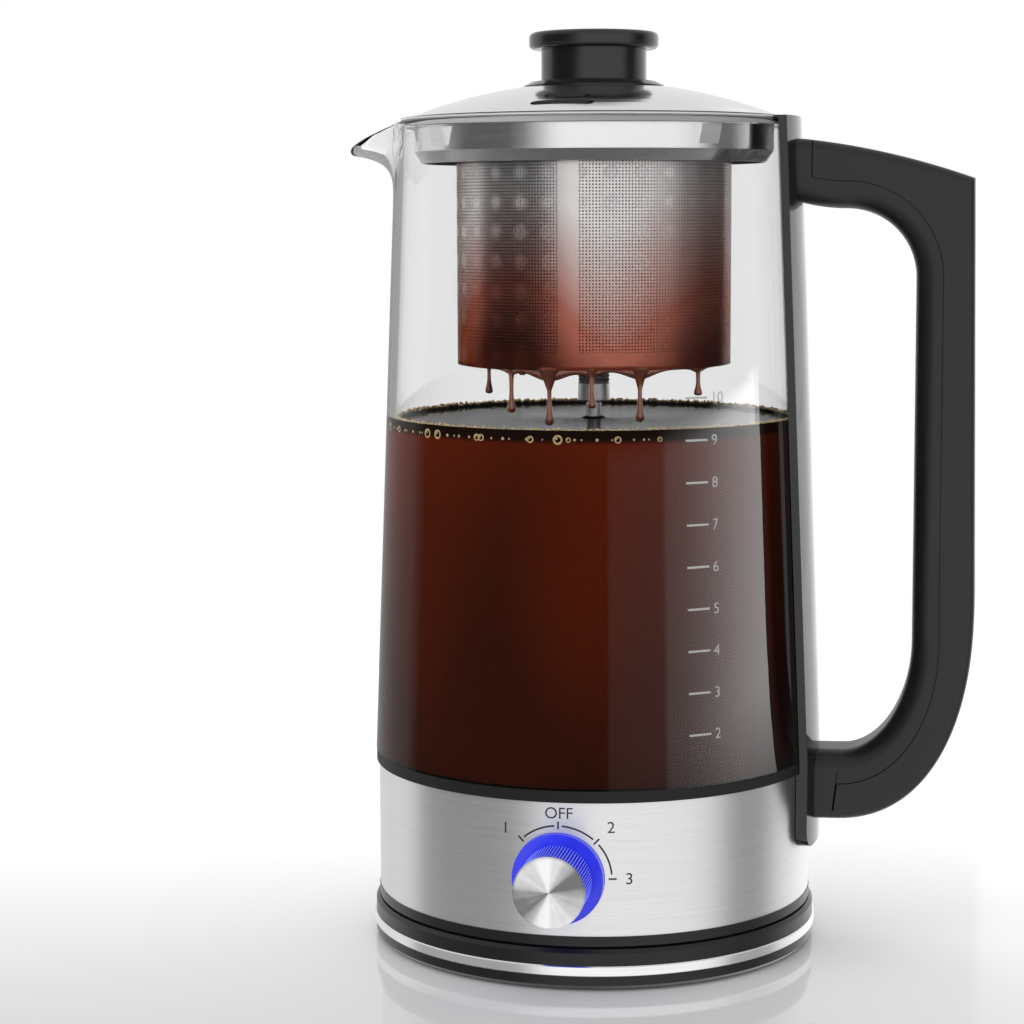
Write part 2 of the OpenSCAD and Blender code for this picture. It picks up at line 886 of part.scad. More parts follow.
module glass_seal() {
    color("#101010") turned([
        [glass_r - seal_w, plate_top], [band_r + seat, plate_top], [band_r + seat, seal_low],
        [seal_r, seal_low], [seal_r, plate_top], [glass_r - seal_inset, glass_z],
        [glass_r - glass_wall - sink, glass_z], [glass_r - glass_wall - sink, glass_z + seal_lip_h],
        [glass_r - seal_w + seal_edge, glass_z + seal_lip_h],
        [glass_r - seal_w, glass_z + seal_lip_h - seal_edge]
    ]);
}

// Ball of radius r at the rim, turned by angle a from the spout's middle
module rim_ball(r, a, inset, z) {
    rotate([0, 0, 180 + a]) translate([glass_top_r - inset, 0, z]) sphere(r = r, $fn = ball_fn);
}

// Beak of the spout; d takes that much off its walls, and up raises its roof
module spout_beak(d, up) {
    tip_x = glass_top_r + spout_reach - tip_r - d;
    tip_z = glass_top - spout_drop + tip_r + tip_lift * d;
    root_x = glass_at(glass_top - spout_root) - spout_root_in - d;
    root_z = glass_top - spout_root + spout_root_in + d;
    hull() for (z = [0, up]) {
        for (s = [-1, 1]) {
            rim_ball(tip_r, s * spout_angle * (1 - d / spout_half), glass_wall + d + rim_ball_in,
                glass_top - tip_r - rim_ball_down + z);
            translate([-tip_x, s * (spout_tip_w - d) / 2, tip_z + z]) sphere(r = tip_r, $fn = ball_fn);
        }
        translate([-root_x, 0, root_z + z]) sphere(r = tip_r, $fn = ball_fn);
    }
}

module carafe_glass() {
    color("#dfe8ea", 0.4) difference() {
        union() {
            turned([
                [glass_r - glass_wall, glass_z], [glass_r, glass_z],
                [glass_top_r, glass_top - rim_edge_h], [glass_top_r - rim_edge_w, glass_top],
                [glass_top_r - glass_wall + rim_edge_w, glass_top],
                [glass_top_r - glass_wall, glass_top - rim_edge_h]
            ]);
            difference() {
                spout_beak(0, 0);
                post(glass_top_r - glass_wall, glass_z, glass_top + cut);
            }
        }
        spout_beak(spout_wall, 2 * spout_drop);
    }
}

// Rounded outline of the spine, seen along X
module spine_outline(w, z0, z1, r) {
    translate([-w / 2, z0 + r]) square([w, z1 - z0 - r]);
    translate([-w / 2 + r, z0]) square([w - 2 * r, z1 - z0]);
    for (s = [-1, 1]) translate([s * (w / 2 - r), z0 + r]) circle(r = r);
}

module handle_spine() {
    color("#161617") difference() {
        intersection() {
            turned([
                [band_r + spine_gap, spine_bottom], [band_r + spine_gap, seal_low - spine_step],
                [seal_r + spine_step, seal_low - spine_gap], [seal_r + spine_step, plate_top],
                [glass_r + spine_gap, glass_z],
                [glass_top_r + spine_gap, glass_top + cut], [gasket_r + clear, glass_top + sink],
                [gasket_r + clear, spine_top], [spine_at(spine_top), spine_top],
                [spine_at(glass_z), glass_z], [spine_at(glass_z), spine_bottom]
            ]);
            rotate([90, 0, 90]) linear_extrude(height = glass_r + 2 * spine_t)
                spine_outline(spine_w, spine_bottom, spine_top, spine_round);
        }
        for (z = band_screw_z) x_post(screw_r + seat, band_r - head_t, spine_at(z) - spine_skin, z);
        for (z = [top_screw_z, low_screw_z]) {
            x_post(screw_r + seat, 0, 2 * glass_r, z);
            x_post(head_r + seat, 0, head_at(z) + sunk_head_t + seat, z);
        }
    }
}

// Whole handle before it is parted
module handle_solid() {
    pairs = concat(upper_arm(), upper_bend(), grip_run(), lower_bend(), lower_arm());
    rings = [for (p = pairs) handle_ring(p)];
    m = len(rings[0]);
    n = len(rings);
    faces = concat(
        [[for (k = [0 : m - 1]) k]],
        [[for (k = [m - 1 : -1 : 0]) (n - 1) * m + k]],
        [for (i = [0 : n - 2], k = [0 : m - 1]) [i * m + k, (i + 1) * m + k, (i + 1) * m + (k + 1) % m]],
        [for (i = [0 : n - 2], k = [0 : m - 1]) [i * m + k, (i + 1) * m + (k + 1) % m, i * m + (k + 1) % m]]
    );
    polyhedron([for (r = rings, q = r) q], faces);
}

// Space that the spine and the glass take out of the arms
module spine_space() {
    turned([
        [0, 0], [spine_at(glass_z) + seat, 0], [spine_at(glass_z) + seat, glass_z],
        [spine_at(2 * glass_top) + seat, 2 * glass_top], [0, 2 * glass_top]
    ]);
}

// Block outside the parting line; g moves the line in towards the finger gap
module cover_block(g) {
    far = grip_x + grip_t + block_over;
    over = glass_top + block_over;
    under = low_z - block_under;
    p = part_in - g;
    rotate([90, 0, 0]) translate([0, 0, -handle_w]) linear_extrude(height = 2 * handle_w) polygon(concat(
        [[seam_top_x - g, over]],
        [[seam_top_x - g, bend_z + bend_r + p + arm_in_slope * (bend_x - seam_top_x)]],
        [for (k = [0 : bend_steps]) let (a = 90 - 90 * k / bend_steps)
            [bend_x + (bend_r + p) * cos(a), bend_z + (bend_r + p) * sin(a)]],
        [for (k = [0 : bend_steps]) let (a = 90 * k / bend_steps)
            [
                low_in_x + (low_in_a + p - seam_side) * cos(a),
                low_in_z - (low_in_b + p + seam_under) * sin(a)
            ]],
        [[seam_low_x - g, low_in_z - low_in_b - p - seam_low_under]],
        [[seam_low_x + seam_foot_out - g, under], [far, under], [far, over]]
    ));
}

module handle_grip() {
    color("#1c1c1e") difference() {
        handle_solid();
        spine_space();
        cover_block(seam_gap);
        for (z = [top_screw_z, low_screw_z])
            x_post(screw_r + seat, 0, spine_at(z) + handle_screw_l + sink, z);
    }
}

module handle_cover() {
    color("#202022") intersection() {
        handle_solid();
        cover_block(0);
    }
}

module handle_screws() {
    color("#8d8f92") for (z = [top_screw_z, low_screw_z]) {
        x_post(head_r, head_at(z), head_at(z) + sunk_head_t, z);
        x_post(screw_r, head_at(z), spine_at(z) + handle_screw_l, z);
    }
}

module band_screws() {
    color("#8d8f92") for (z = band_screw_z) {
        x_post(head_r, band_in_r - sink - head_t, band_in_r - sink, z);
        x_post(screw_r, band_in_r - sink - head_t, spine_at(z) - spine_skin - 2 * cut, z);
    }
}

// Round with a flat on one side
module d_shape(r, flat) {
    difference() {
        circle(r = r);
        translate([-r, flat]) square([2 * r, r]);
    }
}

module knob_body() {
    color("#3d4bff") difference() {
        at_dial(knob_back) linear_extrude(height = knob_len) polygon([for (k = [0 : 2 * knob_teeth - 1])
            let (r = knob_r - (k % 2) * tooth_h, a = 180 * k / knob_teeth) [r * cos(a), r * sin(a)]]);
        dial_post(nut_r + nut_room, knob_back - cut, bush_end + knob_gap);
        at_dial(knob_back) linear_extrude(height = shaft_end - knob_back + seat)
            d_shape(shaft_r + seat, shaft_flat + seat);
    }
}

module knob_cap() {
    color("#d0d1d3") at_dial(knob_front) turned([
        [0, 0], [knob_cap_r, 0], [knob_cap_r, knob_cap_t - cap_edge], [knob_cap_r - cap_edge, knob_cap_t],
        [knob_cap_r - cap_rim, knob_cap_t], [0, knob_cap_t - cap_edge]
    ]);
}

module knob_shaft() {
    color("#a7a9ad") {
        dial_post(shaft_r, shaft_in, bush_end);
        at_dial(bush_end - cut) linear_extrude(height = shaft_end - bush_end + cut)
            d_shape(shaft_r, shaft_flat);
    }
}

module pump_tube() {
    color("#c9cbce") ring(tube_r - tube_wall, tube_r, plate_top + tube_lift, tube_top);
}

module pump_foot() {
    bell_top = plate_top + bell_h;
    color("#c2c4c7") difference() {
        turned([
            [bell_r - bell_t, plate_top], [bell_r, plate_top], [bell_r, plate_top + bell_rim_h],
            [tube_r + bell_neck_w, bell_top - bell_neck_h], [tube_r + bell_t, bell_top],
            [tube_r + seat, bell_top], [tube_r + seat, bell_top - bell_in],
            [bell_r - bell_t, plate_top + bell_rim_h - bell_t / 2]
        ]);
        around(bell_notch_n, bell_r) translate([-bell_notch[0] / 2, -bell_notch[1] / 2, plate_top - cut])
            cube(bell_notch + [0, 0, cut]);
    }
}

module pump_collar() {
    color("#b5b7ba") turned(concat(
        [[tube_r + seat, basket_z - collar_h], [collar_r - collar_edge, basket_z - collar_h]],
        [[collar_r, basket_z - collar_h + collar_edge]],
        [for (k = [rib_n : -1 : 1], s = [0, 1])
            [collar_r - s * rib_h, basket_z - collar_edge - (k - s / 2) * rib_pitch]],
        [[collar_r, basket_z - collar_edge], [collar_r, basket_z], [tube_r + seat, basket_z]]
    ));
}

module basket_mesh() {
    color("#b9bbbd") ring(basket_r - mesh_t, basket_r, basket_z, basket_top - rim_h);
}

module basket_drum() {
    color("#a3a5a8") difference() {
        ring(drum_r - drum_t, drum_r, basket_z + floor_t, basket_top - rim_h);
        for (row = [0 : drum_rows - 1])
            translate([0, 0, basket_z + drum_first + row * drum_pitch]) around(drum_n, drum_r - 2 * drum_t)
                rotate([0, 90, 0]) cylinder(r = drum_hole_r, h = 3 * drum_t, $fn = hole_fn);
    }
}

// Rings of drain holes from height z0 to z1
module drain_holes(z0, z1) {
    for (k = [1 : drain_rings])
        around(drain_n * k, drain_first + drain_pitch * (k - 1)) post(drain_r, z0, z1);
}

module basket_floor() {
    color("#a3a5a8") difference() {
        post(basket_r - mesh_t - seat, basket_z, basket_z + floor_t);
        post(sleeve_in, basket_z - cut, basket_z + floor_t + cut);
        drain_holes(basket_z - cut, basket_z + floor_t + cut);
    }
}

module basket_rim() {
    color("#c9cbce") ring(drum_r - drum_t - rim_in, basket_r + rim_out, basket_top - rim_h, basket_top);
}

module basket_sleeve() {
    color("#b5b7ba") ring(sleeve_in, sleeve_in + sleeve_wall, basket_z + floor_t, basket_top - sleeve_drop);
}

module basket_cover() {
    color("#c2c4c7") difference() {
        union() {
            post(basket_r + rim_out, basket_top, basket_top + cover_t);
            ring(basket_r - cover_lip_w, basket_r + rim_out, basket_top, basket_top + cover_t + cover_lip);
        }
        post(sleeve_in, basket_top - cut, basket_top + cover_t + cut);
        drain_holes(basket_top - cut, basket_top + cover_t + cut);
    }
}

// Cut for a steam slot of length l at radius r
module vent(r, l) {
    rotate([0, 0, vent_angle]) translate([r, 0, lid_z]) linear_extrude(height = 2 * dome_rise) {
        square([vent_w, l - vent_w], center = true);
        for (s = [-1, 1]) translate([0, s * (l - vent_w) / 2]) circle(r = vent_w / 2);
    }
}

module lid_dome() {
    flat_r = skirt_r - dome_seat;
    color("#d7d8da") difference() {
        turned(concat(
            [for (k = [0 : dome_steps]) let (r = lid_r * k / dome_steps) [r, dome_at(r, 0)]],
            [[lid_r, lid_z], [flat_r, lid_z]],
            [for (k = [dome_steps : -1 : 0]) let (r = flat_r * k / dome_steps) [r, dome_at(r, lid_t)]]
        ));
        post(lid_screw_r + seat, lid_z, crown + cut);
        vent(vent_ring_r, vent_l);
        vent(vent_ring_r - vent_pitch, vent_l - vent_shorter);
    }
}

module lid_skirt() {
    step_z = lid_z - skirt_h;
    color("#cbccce") {
        turned([
            [skirt_r - lid_t, lid_z], [skirt_r, lid_z], [skirt_r, step_z], [lip_r, step_z - lip_h],
            [lip_r - lid_t, step_z - lip_h], [skirt_r - lid_t, step_z + lid_t / 2]
        ]);
        around(tab_n, skirt_r - lid_t / 2, 45) translate([0, tab_w / 2, tab_z]) rotate([90, 0, 0])
            linear_extrude(height = tab_w)
                polygon([[0, 0], [lid_t / 2 + tab_foot, 0], [lid_t / 2 + tab_out, tab_h], [0, tab_h]]);
    }
}

module lid_gasket() {
    color("#e6e9ea", 0.6) turned([
        [skirt_r + seat, lid_z], [gasket_r, lid_z], [gasket_r, lid_z - gasket_t], [plug_r, lid_z - gasket_t],
        [plug_r, lid_z - gasket_t - plug_h], [skirt_r + seat, lid_z - gasket_t - plug_h]
    ]);
}

// Quarter round of the lid knob's edge about height z, from angle a
function knob_corner(z, a) = [for (k = [0 : knob_edge_steps])
    let (b = a + 90 * k / knob_edge_steps)
    [lid_knob_r - knob_edge + knob_edge * cos(b), z + knob_edge * sin(b)]];

module lid_knob() {
    top = crown + lid_knob_h;
    under = top - lid_knob_t;
    foot_z = dome_at(lid_foot_r, 0) + sink;
    color("#121212") difference() {
        turned(concat([
            [0, crown - dome_rise], [lid_foot_r, crown - dome_rise], [lid_foot_r, foot_z],
            [lid_foot_r - knob_foot_edge, foot_z + knob_foot_t],
            [lid_neck_r, foot_z + knob_foot_t + knob_foot_rise], [lid_neck_r, under]
        ], knob_corner(under + knob_edge, -90), knob_corner(top - knob_edge, 0), [[0, top]]));
        translate([0, 0, dome_centre]) sphere(r = dome_r + seat, $fn = 128);
        post(lid_screw_r + seat, dome_centre, crown + lid_screw_in + sink);
    }
}

module lid_screw() {
    color("#9c9ea2") {
        post(lid_head_r, washer_top - washer_t - lid_head_t, washer_top - washer_t);
        post(lid_screw_r, washer_top - washer_t - lid_head_t, crown + lid_screw_in);
    }
}

module lid_washer() {
    color("#b5b7ba") ring(lid_screw_r + seat, washer_r, washer_top - washer_t, washer_top);
}

base_lower_cover();
base_foot_ring();
base_trim_ring();
base_upper_cover();
base_connector();
base_contacts();
base_screws();
cord_gland();
kettle_bottom_cover();
bottom_screws();
kettle_connector();
kettle_contacts();
steel_band();
heater_plate();
heat_spreader();
heating_element();
thermostat();
temperature_probe();
control_board();
heater_leads();
supply_leads();
ribbon_lead();
light_ring();
light_board();
rotary_switch();
switch_nut();
glass_seal();
carafe_glass();
handle_spine();
handle_grip();
handle_cover();
handle_screws();
band_screws();
knob_body();
knob_cap();
knob_shaft();
pump_tube();
pump_foot();
pump_collar();
basket_mesh();
basket_drum();
basket_floor();
basket_rim();
basket_sleeve();
basket_cover();
lid_dome();
lid_skirt();
lid_gasket();
lid_knob();
lid_screw();
lid_washer();
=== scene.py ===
"""Looks of the electric percolator: finishes, glass, coffee, basket, prints, light and camera.

Metres, +Z up. The front, with the dial, is -Y and the handle is +X.
"""
import json
import math
import random

import bpy
from mathutils import Matrix, Vector


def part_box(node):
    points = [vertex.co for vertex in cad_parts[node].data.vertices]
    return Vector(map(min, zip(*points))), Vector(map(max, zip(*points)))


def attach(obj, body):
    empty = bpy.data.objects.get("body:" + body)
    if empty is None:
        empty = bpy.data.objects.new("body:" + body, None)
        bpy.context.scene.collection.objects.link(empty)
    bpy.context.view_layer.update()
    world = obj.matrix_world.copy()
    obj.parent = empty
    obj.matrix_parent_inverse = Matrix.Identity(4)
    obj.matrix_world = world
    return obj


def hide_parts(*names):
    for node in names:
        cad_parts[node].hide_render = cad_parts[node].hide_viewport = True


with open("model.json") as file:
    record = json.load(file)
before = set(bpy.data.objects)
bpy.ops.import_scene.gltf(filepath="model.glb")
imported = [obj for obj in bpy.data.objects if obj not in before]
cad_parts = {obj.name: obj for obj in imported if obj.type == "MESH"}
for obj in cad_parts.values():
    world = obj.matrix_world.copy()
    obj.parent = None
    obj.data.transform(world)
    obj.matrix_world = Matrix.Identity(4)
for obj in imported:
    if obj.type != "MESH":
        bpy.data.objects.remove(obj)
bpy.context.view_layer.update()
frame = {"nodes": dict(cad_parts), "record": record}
NODES = frame["nodes"]
MM = 0.001


# Sizes read from the frame

def radii(node, low, high):
    """Least and greatest distance from the axis of a node's points between two heights, on its +Y side."""
    found = [math.hypot(v.co.x, v.co.y) for v in NODES[node].data.vertices
             if low <= v.co.z <= high and v.co.y > abs(v.co.x)]
    return min(found), max(found)


def heights(node):
    """Lowest and highest point of a node."""
    low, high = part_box(node)
    return low.z, high.z


EDGE = 0.2 * MM
GLASS_Z0, GLASS_Z1 = heights("carafe_glass")
FOOT_IN_R, FOOT_R = radii("carafe_glass", GLASS_Z0 - EDGE, GLASS_Z0 + EDGE)
RIM_Z = GLASS_Z1 - 1 * MM
RIM_R = radii("carafe_glass", RIM_Z - EDGE, RIM_Z + EDGE)[1]
GLASS_WALL = FOOT_R - FOOT_IN_R
GLASS_LEAN = (FOOT_R - RIM_R) / (RIM_Z - GLASS_Z0)
BAND_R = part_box("steel_band")[1].y
BAND_Z0 = heights("steel_band")[0]
PLATE_Z = heights("heater_plate")[1]
SEAL_IN_R = radii("glass_seal", *heights("glass_seal"))[0]
SEAL_Z = heights("glass_seal")[1]
KNOB_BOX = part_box("knob_cap")
DIAL_Z = (KNOB_BOX[0].z + KNOB_BOX[1].z) / 2
BASKET_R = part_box("basket_mesh")[1].x
BASKET_Z0, BASKET_Z1 = heights("basket_mesh")
TUBE_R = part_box("pump_tube")[1].x
BELL_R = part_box("pump_foot")[1].x
BELL_Z = heights("pump_foot")[1]
SPINE_T = 2.4 * MM
GASKET_Z = heights("lid_gasket")
SEAM_ANGLE = math.radians(-1.6)
SEAM_HALF = 2.9 * MM / BASKET_R
RUN_TURN = math.radians(-75)
KNOB_TEETH = 72
DRUM_COLUMNS = 29
DRUM_PITCH = 8.4 * MM
DRUM_ROWS = 8
DRUM_Z = BASKET_Z0 + 5.5 * MM
COFFEE_Z = 156.85 * MM
MENISCUS = 1.1 * MM


def glass_at(z):
    """Outer radius of the glass at height z."""
    return FOOT_R - GLASS_LEAN * (z - GLASS_Z0)


def spine_at(z):
    """Outer radius of the spine at height z."""
    return glass_at(max(z, GLASS_Z0)) + SPINE_T


# Material helpers

SOCKETS = {
    "colour": "Base Color", "metal": "Metallic", "rough": "Roughness", "ior": "IOR",
    "coat": "Coat Weight", "coat_rough": "Coat Roughness", "aniso": "Anisotropic",
    "aniso_turn": "Anisotropic Rotation", "through": "Transmission Weight",
    "glow": "Emission Color", "glow_power": "Emission Strength", "specular": "Specular IOR Level",
    "edge": "Specular Tint",
}
NOISE_RANGE = 0.3, 0.7


class Wires:
    """Short ways to wire the nodes of a tree."""

    def __init__(self, tree):
        self.tree = tree

    def add(self, kind, **settings):
        node = self.tree.nodes.new(kind)
        for key, value in settings.items():
            setattr(node, key, value)
        return node

    def join(self, source, target):
        self.tree.links.new(source, target)

    def parts(self, vector):
        """The three numbers of a vector."""
        split = self.add("ShaderNodeSeparateXYZ")
        self.join(vector, split.inputs[0])
        return split.outputs

    def span(self, source, low, high, to_low=0.0, to_high=1.0):
        """Maps low..high to to_low..to_high, held at the ends."""
        node = self.add("ShaderNodeMapRange")
        for socket, value in zip(node.inputs[1:5], (low, high, to_low, to_high)):
            socket.default_value = value
        self.join(source, node.inputs[0])
        return node.outputs[0]

    def maths(self, operation, first, second):
        """An operation on two numbers or sockets. One that takes a single number gets 0 as the second."""
        node = self.add("ShaderNodeMath", operation=operation)
        for socket, value in zip(node.inputs, (first, second)):
            if isinstance(value, (int, float)):
                socket.default_value = value
            else:
                self.join(value, socket)
        return node.outputs[0]

    def between(self, share, first, second):
        """A colour between two, by share."""
        node = self.add("ShaderNodeMix", data_type="RGBA")
        self.join(share, node.inputs[0])
        for socket, value in ((node.inputs[6], first), (node.inputs[7], second)):
            if isinstance(value, tuple):
                socket.default_value = (*value, 1)
            else:
                self.join(value, socket)
        return node.outputs[2]

    def greys(self, source, stops):
        """Greys that follow source, which runs from 0 to 1, through (position, grey) stops."""
        node = self.add("ShaderNodeValToRGB")
        self.join(source, node.inputs[0])
        elements = node.color_ramp.elements
        while len(elements) < len(stops):
            elements.new(0.5)
        for element, (position, grey) in zip(elements, stops):
            element.position = position
            element.color = (grey, grey, grey, 1)
        return node.outputs[0]


class Paint(Wires):
    """A material built on one shader."""

    def __init__(self, name, **values):
        self.material = bpy.data.materials.new(name)
        self.material.use_nodes = True
        super().__init__(self.material.node_tree)
        self.shader = self.tree.nodes["Principled BSDF"]
        for key, value in values.items():
            socket = self.shader.inputs[SOCKETS[key]]
            socket.default_value = (*value, 1) if isinstance(value, tuple) else value

    def drive(self, key, source):
        self.join(source, self.shader.inputs[SOCKETS[key]])

    def place(self):
        return self.add("ShaderNodeTexCoord").outputs["Object"]

    def noise(self, stretch, detail=3.0):
        """Noise with that many bumps a metre along each axis."""
        mapping = self.add("ShaderNodeMapping")
        mapping.inputs["Scale"].default_value = stretch if isinstance(stretch, tuple) else (stretch,) * 3
        self.join(self.place(), mapping.inputs["Vector"])
        texture = self.add("ShaderNodeTexNoise")
        texture.inputs["Scale"].default_value = 1
        texture.inputs["Detail"].default_value = detail
        self.join(mapping.outputs[0], texture.inputs["Vector"])
        return texture.outputs[0]

    def uneven(self, noise, low, high):
        """Noise spread over low..high."""
        return self.span(noise, *NOISE_RANGE, low, high)

    def roughen(self, noise, low, high):
        """Roughness that follows noise from low to high."""
        self.drive("rough", self.uneven(noise, low, high))

    def relief(self, height, strength, depth):
        node = self.add("ShaderNodeBump")
        node.inputs["Strength"].default_value = strength
        node.inputs["Distance"].default_value = depth
        self.join(height, node.inputs["Height"])
        self.join(node.outputs[0], self.shader.inputs["Normal"])

    def spin(self, axis):
        """Turns the anisotropic gloss round an axis."""
        tangent = self.add("ShaderNodeTangent", direction_type="RADIAL", axis=axis)
        self.join(tangent.outputs[0], self.shader.inputs["Tangent"])


# Materials

def black_plastic(name, dark, light, rough, grain=1800.0, specular=0.5):
    """Moulded black plastic with a fine grain and faint handling marks."""
    paint = Paint(name, ior=1.5, specular=specular)
    marks = paint.noise(35.0)
    paint.drive("colour", paint.between(marks, dark, light))
    paint.roughen(marks, rough - 0.05, rough + 0.05)
    paint.relief(paint.noise(grain), 0.08, 0.02 * MM)
    return paint.material


QUARTER_TURN = 0.25


def steel(name, tint, rough, aniso, streaks, axis, depth=0.03):
    """Steel with streaks of the given bumps a metre along each axis, brushed round an axis."""
    paint = Paint(name, metal=1.0, aniso=aniso, aniso_turn=QUARTER_TURN)
    lines = paint.noise(streaks, 4.0)
    dull = tuple(0.9 * part for part in tint)
    paint.drive("colour", paint.between(paint.span(lines, 0.35, 0.65), dull, tint))
    paint.roughen(lines, rough - 0.03, rough + 0.03)
    paint.relief(lines, depth, 0.01 * MM)
    paint.spin(axis)
    return paint.material


def dial_turn(paint):
    """Angle of a point round the dial's axis, from +X."""
    x, _, z = paint.parts(paint.place())
    return paint.maths("ARCTAN2", paint.maths("SUBTRACT", z, DIAL_Z), x)


# Waves of painted reflection, light and dark, round the dial's face: how many, where they start in degrees,
# how strong
PAINTED_REFLECTION_WAVES = (2, -220, 0.5), (4, 60, 0.2), (7, 10, 0.1), (18, 200, 0.05)


def spun_steel(name, dark, light):
    """Face turned on a lathe, with painted reflection: light and dark wedges painted into its colour."""
    paint = Paint(name, metal=1.0, aniso=0.8, aniso_turn=QUARTER_TURN)
    turn = dial_turn(paint)
    wedges = paint.uneven(paint.noise((300.0, 60.0, 300.0), 1.0), 0.44, 0.56)
    for times, start, weight in PAINTED_REFLECTION_WAVES:
        angle = paint.span(turn, -math.pi, math.pi, math.radians(start) - times * math.pi,
                           math.radians(start) + times * math.pi)
        wave = paint.span(paint.maths("COSINE", angle, 0.0), -1.0, 1.0, -weight, weight)
        wedges = paint.maths("ADD", wedges, wave)
    # Painted reflection: the wedges take the colour from dark to light
    paint.drive("colour", paint.between(paint.span(wedges, -0.1, 1.1), dark, light))
    paint.drive("rough", paint.span(wedges, 0.0, 1.0, 0.34, 0.4))
    paint.spin("Y")
    return paint.material


def knurled_plastic(name, low, high, power):
    """Clear knurled plastic lit blue from inside, with a painted highlight along its ridges."""
    paint = Paint(name, rough=0.18, ior=1.49, glow_power=power)
    ridges = paint.maths("COSINE", paint.maths("MULTIPLY", dial_turn(paint), KNOB_TEETH), 0.0)
    # Painted highlight: colour and glow brighter along the ridges
    glow = paint.between(paint.span(ridges, 0.1, 1.0), low, high)
    paint.drive("colour", glow)
    paint.drive("glow", glow)
    return paint.material


def lid_steel(name, dark, light, shade_below, shade_tint):
    """Polished steel, painted dark where a face's upward share is below a limit: painted shade on faces that
    look down.
    """
    soft = 0.1
    paint = Paint(name, metal=1.0)
    marks = paint.noise((60.0, 60.0, 600.0))
    tint = paint.between(marks, dark, light)
    upward = paint.parts(paint.add("ShaderNodeNewGeometry").outputs["Normal"])["Z"]
    # Painted shade on faces that look down, such as the lid's lip and the dome's underside
    dull = paint.span(upward, shade_below - soft, shade_below + soft, 1.0, 0.0)
    paint.drive("colour", paint.between(dull, tint, shade_tint))
    paint.roughen(marks, 0.12, 0.16)
    return paint.material


def satin_steel(name):
    """Steel with an even satin grain."""
    paint = Paint(name, metal=1.0)
    marks = paint.noise(900.0)
    paint.drive("colour", paint.between(marks, (0.78, 0.78, 0.78), (0.88, 0.88, 0.88)))
    paint.roughen(marks, 0.4, 0.5)
    return paint.material


FILM_EDGE = (0.42, 0.34, 0.31)
FILM_THIN, FILM_DEEP = (0.37, 0.118, 0.080), (0.11, 0.017, 0.007)
FILM_FROM, FILM_FULL, DEEP_FROM, DEEP_FULL = 0.28, 0.8, 0.85, 1.1
FILM_RUNS = 4
# Colour of the painted light at the drum's holes, where light shows through
PAINTED_HOLE_LIGHT = (0.86, 0.85, 0.84)
# Towards the handle the colour goes further into the film and the steel gets less metallic, as (from x, to x,
# least, most)
FILM_SIDE, DULL_SIDE = (12 * MM, 34 * MM, 0.0, 0.11), (10 * MM, 30 * MM, 0.0, 0.4)


def stained_steel(name, clean, hole_light_strength):
    """Basket steel under a film of coffee that thickens downwards, with painted light in dots at the drum's
    holes.
    """
    paint = Paint(name, edge=FILM_EDGE)
    x, y, height = paint.parts(paint.place())
    turn = paint.maths("ARCTAN2", y, x)
    level = paint.span(height, BASKET_Z0, BASKET_Z1, 1.0, 0.0)
    middle, swing = -FILM_RUNS * RUN_TURN, FILM_RUNS * math.pi
    runs = paint.maths("COSINE", paint.span(turn, -math.pi, math.pi, middle - swing, middle + swing), 0.0)
    blots = paint.uneven(paint.noise((30.0, 30.0, 10.0), 1.5), -0.13, 0.13)
    share = paint.maths("ADD", level, blots)
    share = paint.maths("ADD", share, paint.span(runs, -1.0, 1.0, 0.11, -0.08))
    share = paint.maths("ADD", share, paint.span(x, *FILM_SIDE))
    film = paint.span(share, FILM_FROM, FILM_FULL)
    edge = paint.span(height, BASKET_Z0 + 0.8 * MM, BASKET_Z0 + 1.6 * MM, 1.0, 0.0)
    deep = paint.maths("MAXIMUM", paint.span(share, DEEP_FROM, DEEP_FULL), edge)
    columns = paint.maths("COSINE", paint.maths("MULTIPLY", turn, DRUM_COLUMNS), 0.0)
    rows = paint.maths("COSINE", paint.span(height, DRUM_Z, DRUM_Z + DRUM_ROWS * DRUM_PITCH, 0.0,
                                            2 * DRUM_ROWS * math.pi), 0.0)
    aside = paint.maths("ABSOLUTE", paint.maths("ADD", turn, math.pi / 2 - SEAM_ANGLE), 0.0)
    # Painted light: lighter, less metallic dots at the drum's holes, kept off the seam
    hole_light_spot = paint.span(paint.maths("ADD", columns, rows), 0.4, 1.6, 0.0, hole_light_strength)
    hole_light_spot = paint.maths("MULTIPLY", hole_light_spot, paint.span(aside, SEAM_HALF, SEAM_HALF * 1.3))
    light = paint.between(hole_light_spot, clean, PAINTED_HOLE_LIGHT)
    stained = paint.between(deep, FILM_THIN, FILM_DEEP)
    paint.drive("colour", paint.between(film, light, stained))
    dull = paint.maths("MULTIPLY", hole_light_spot, paint.span(film, 0.0, 1.0, 1.0, 0.35))
    dull = paint.maths("MAXIMUM", dull, paint.span(x, *DULL_SIDE))
    paint.drive("metal", paint.maths("SUBTRACT", 1.0, dull))
    paint.roughen(paint.noise(60.0, 1.0), 0.2, 0.26)
    return paint.material


def clear_glass(name):
    """Glass that lets lamps through to what is behind it."""
    paint = Paint(name, rough=0.0, through=1.0, ior=1.45)
    paint.drive("colour", paint.between(paint.noise(30.0), (0.925, 0.926, 0.926), (0.945, 0.946, 0.946)))
    lamp = paint.add("ShaderNodeLightPath").outputs["Is Shadow Ray"]
    gap = paint.add("ShaderNodeBsdfTransparent")
    gap.inputs[0].default_value = (0.95, 0.95, 0.95, 1)
    mix = paint.add("ShaderNodeMixShader")
    paint.join(lamp, mix.inputs[0])
    paint.join(paint.shader.outputs[0], mix.inputs[1])
    paint.join(gap.outputs[0], mix.inputs[2])
    paint.join(mix.outputs[0], paint.tree.nodes["Material Output"].inputs["Surface"])
    return paint.material


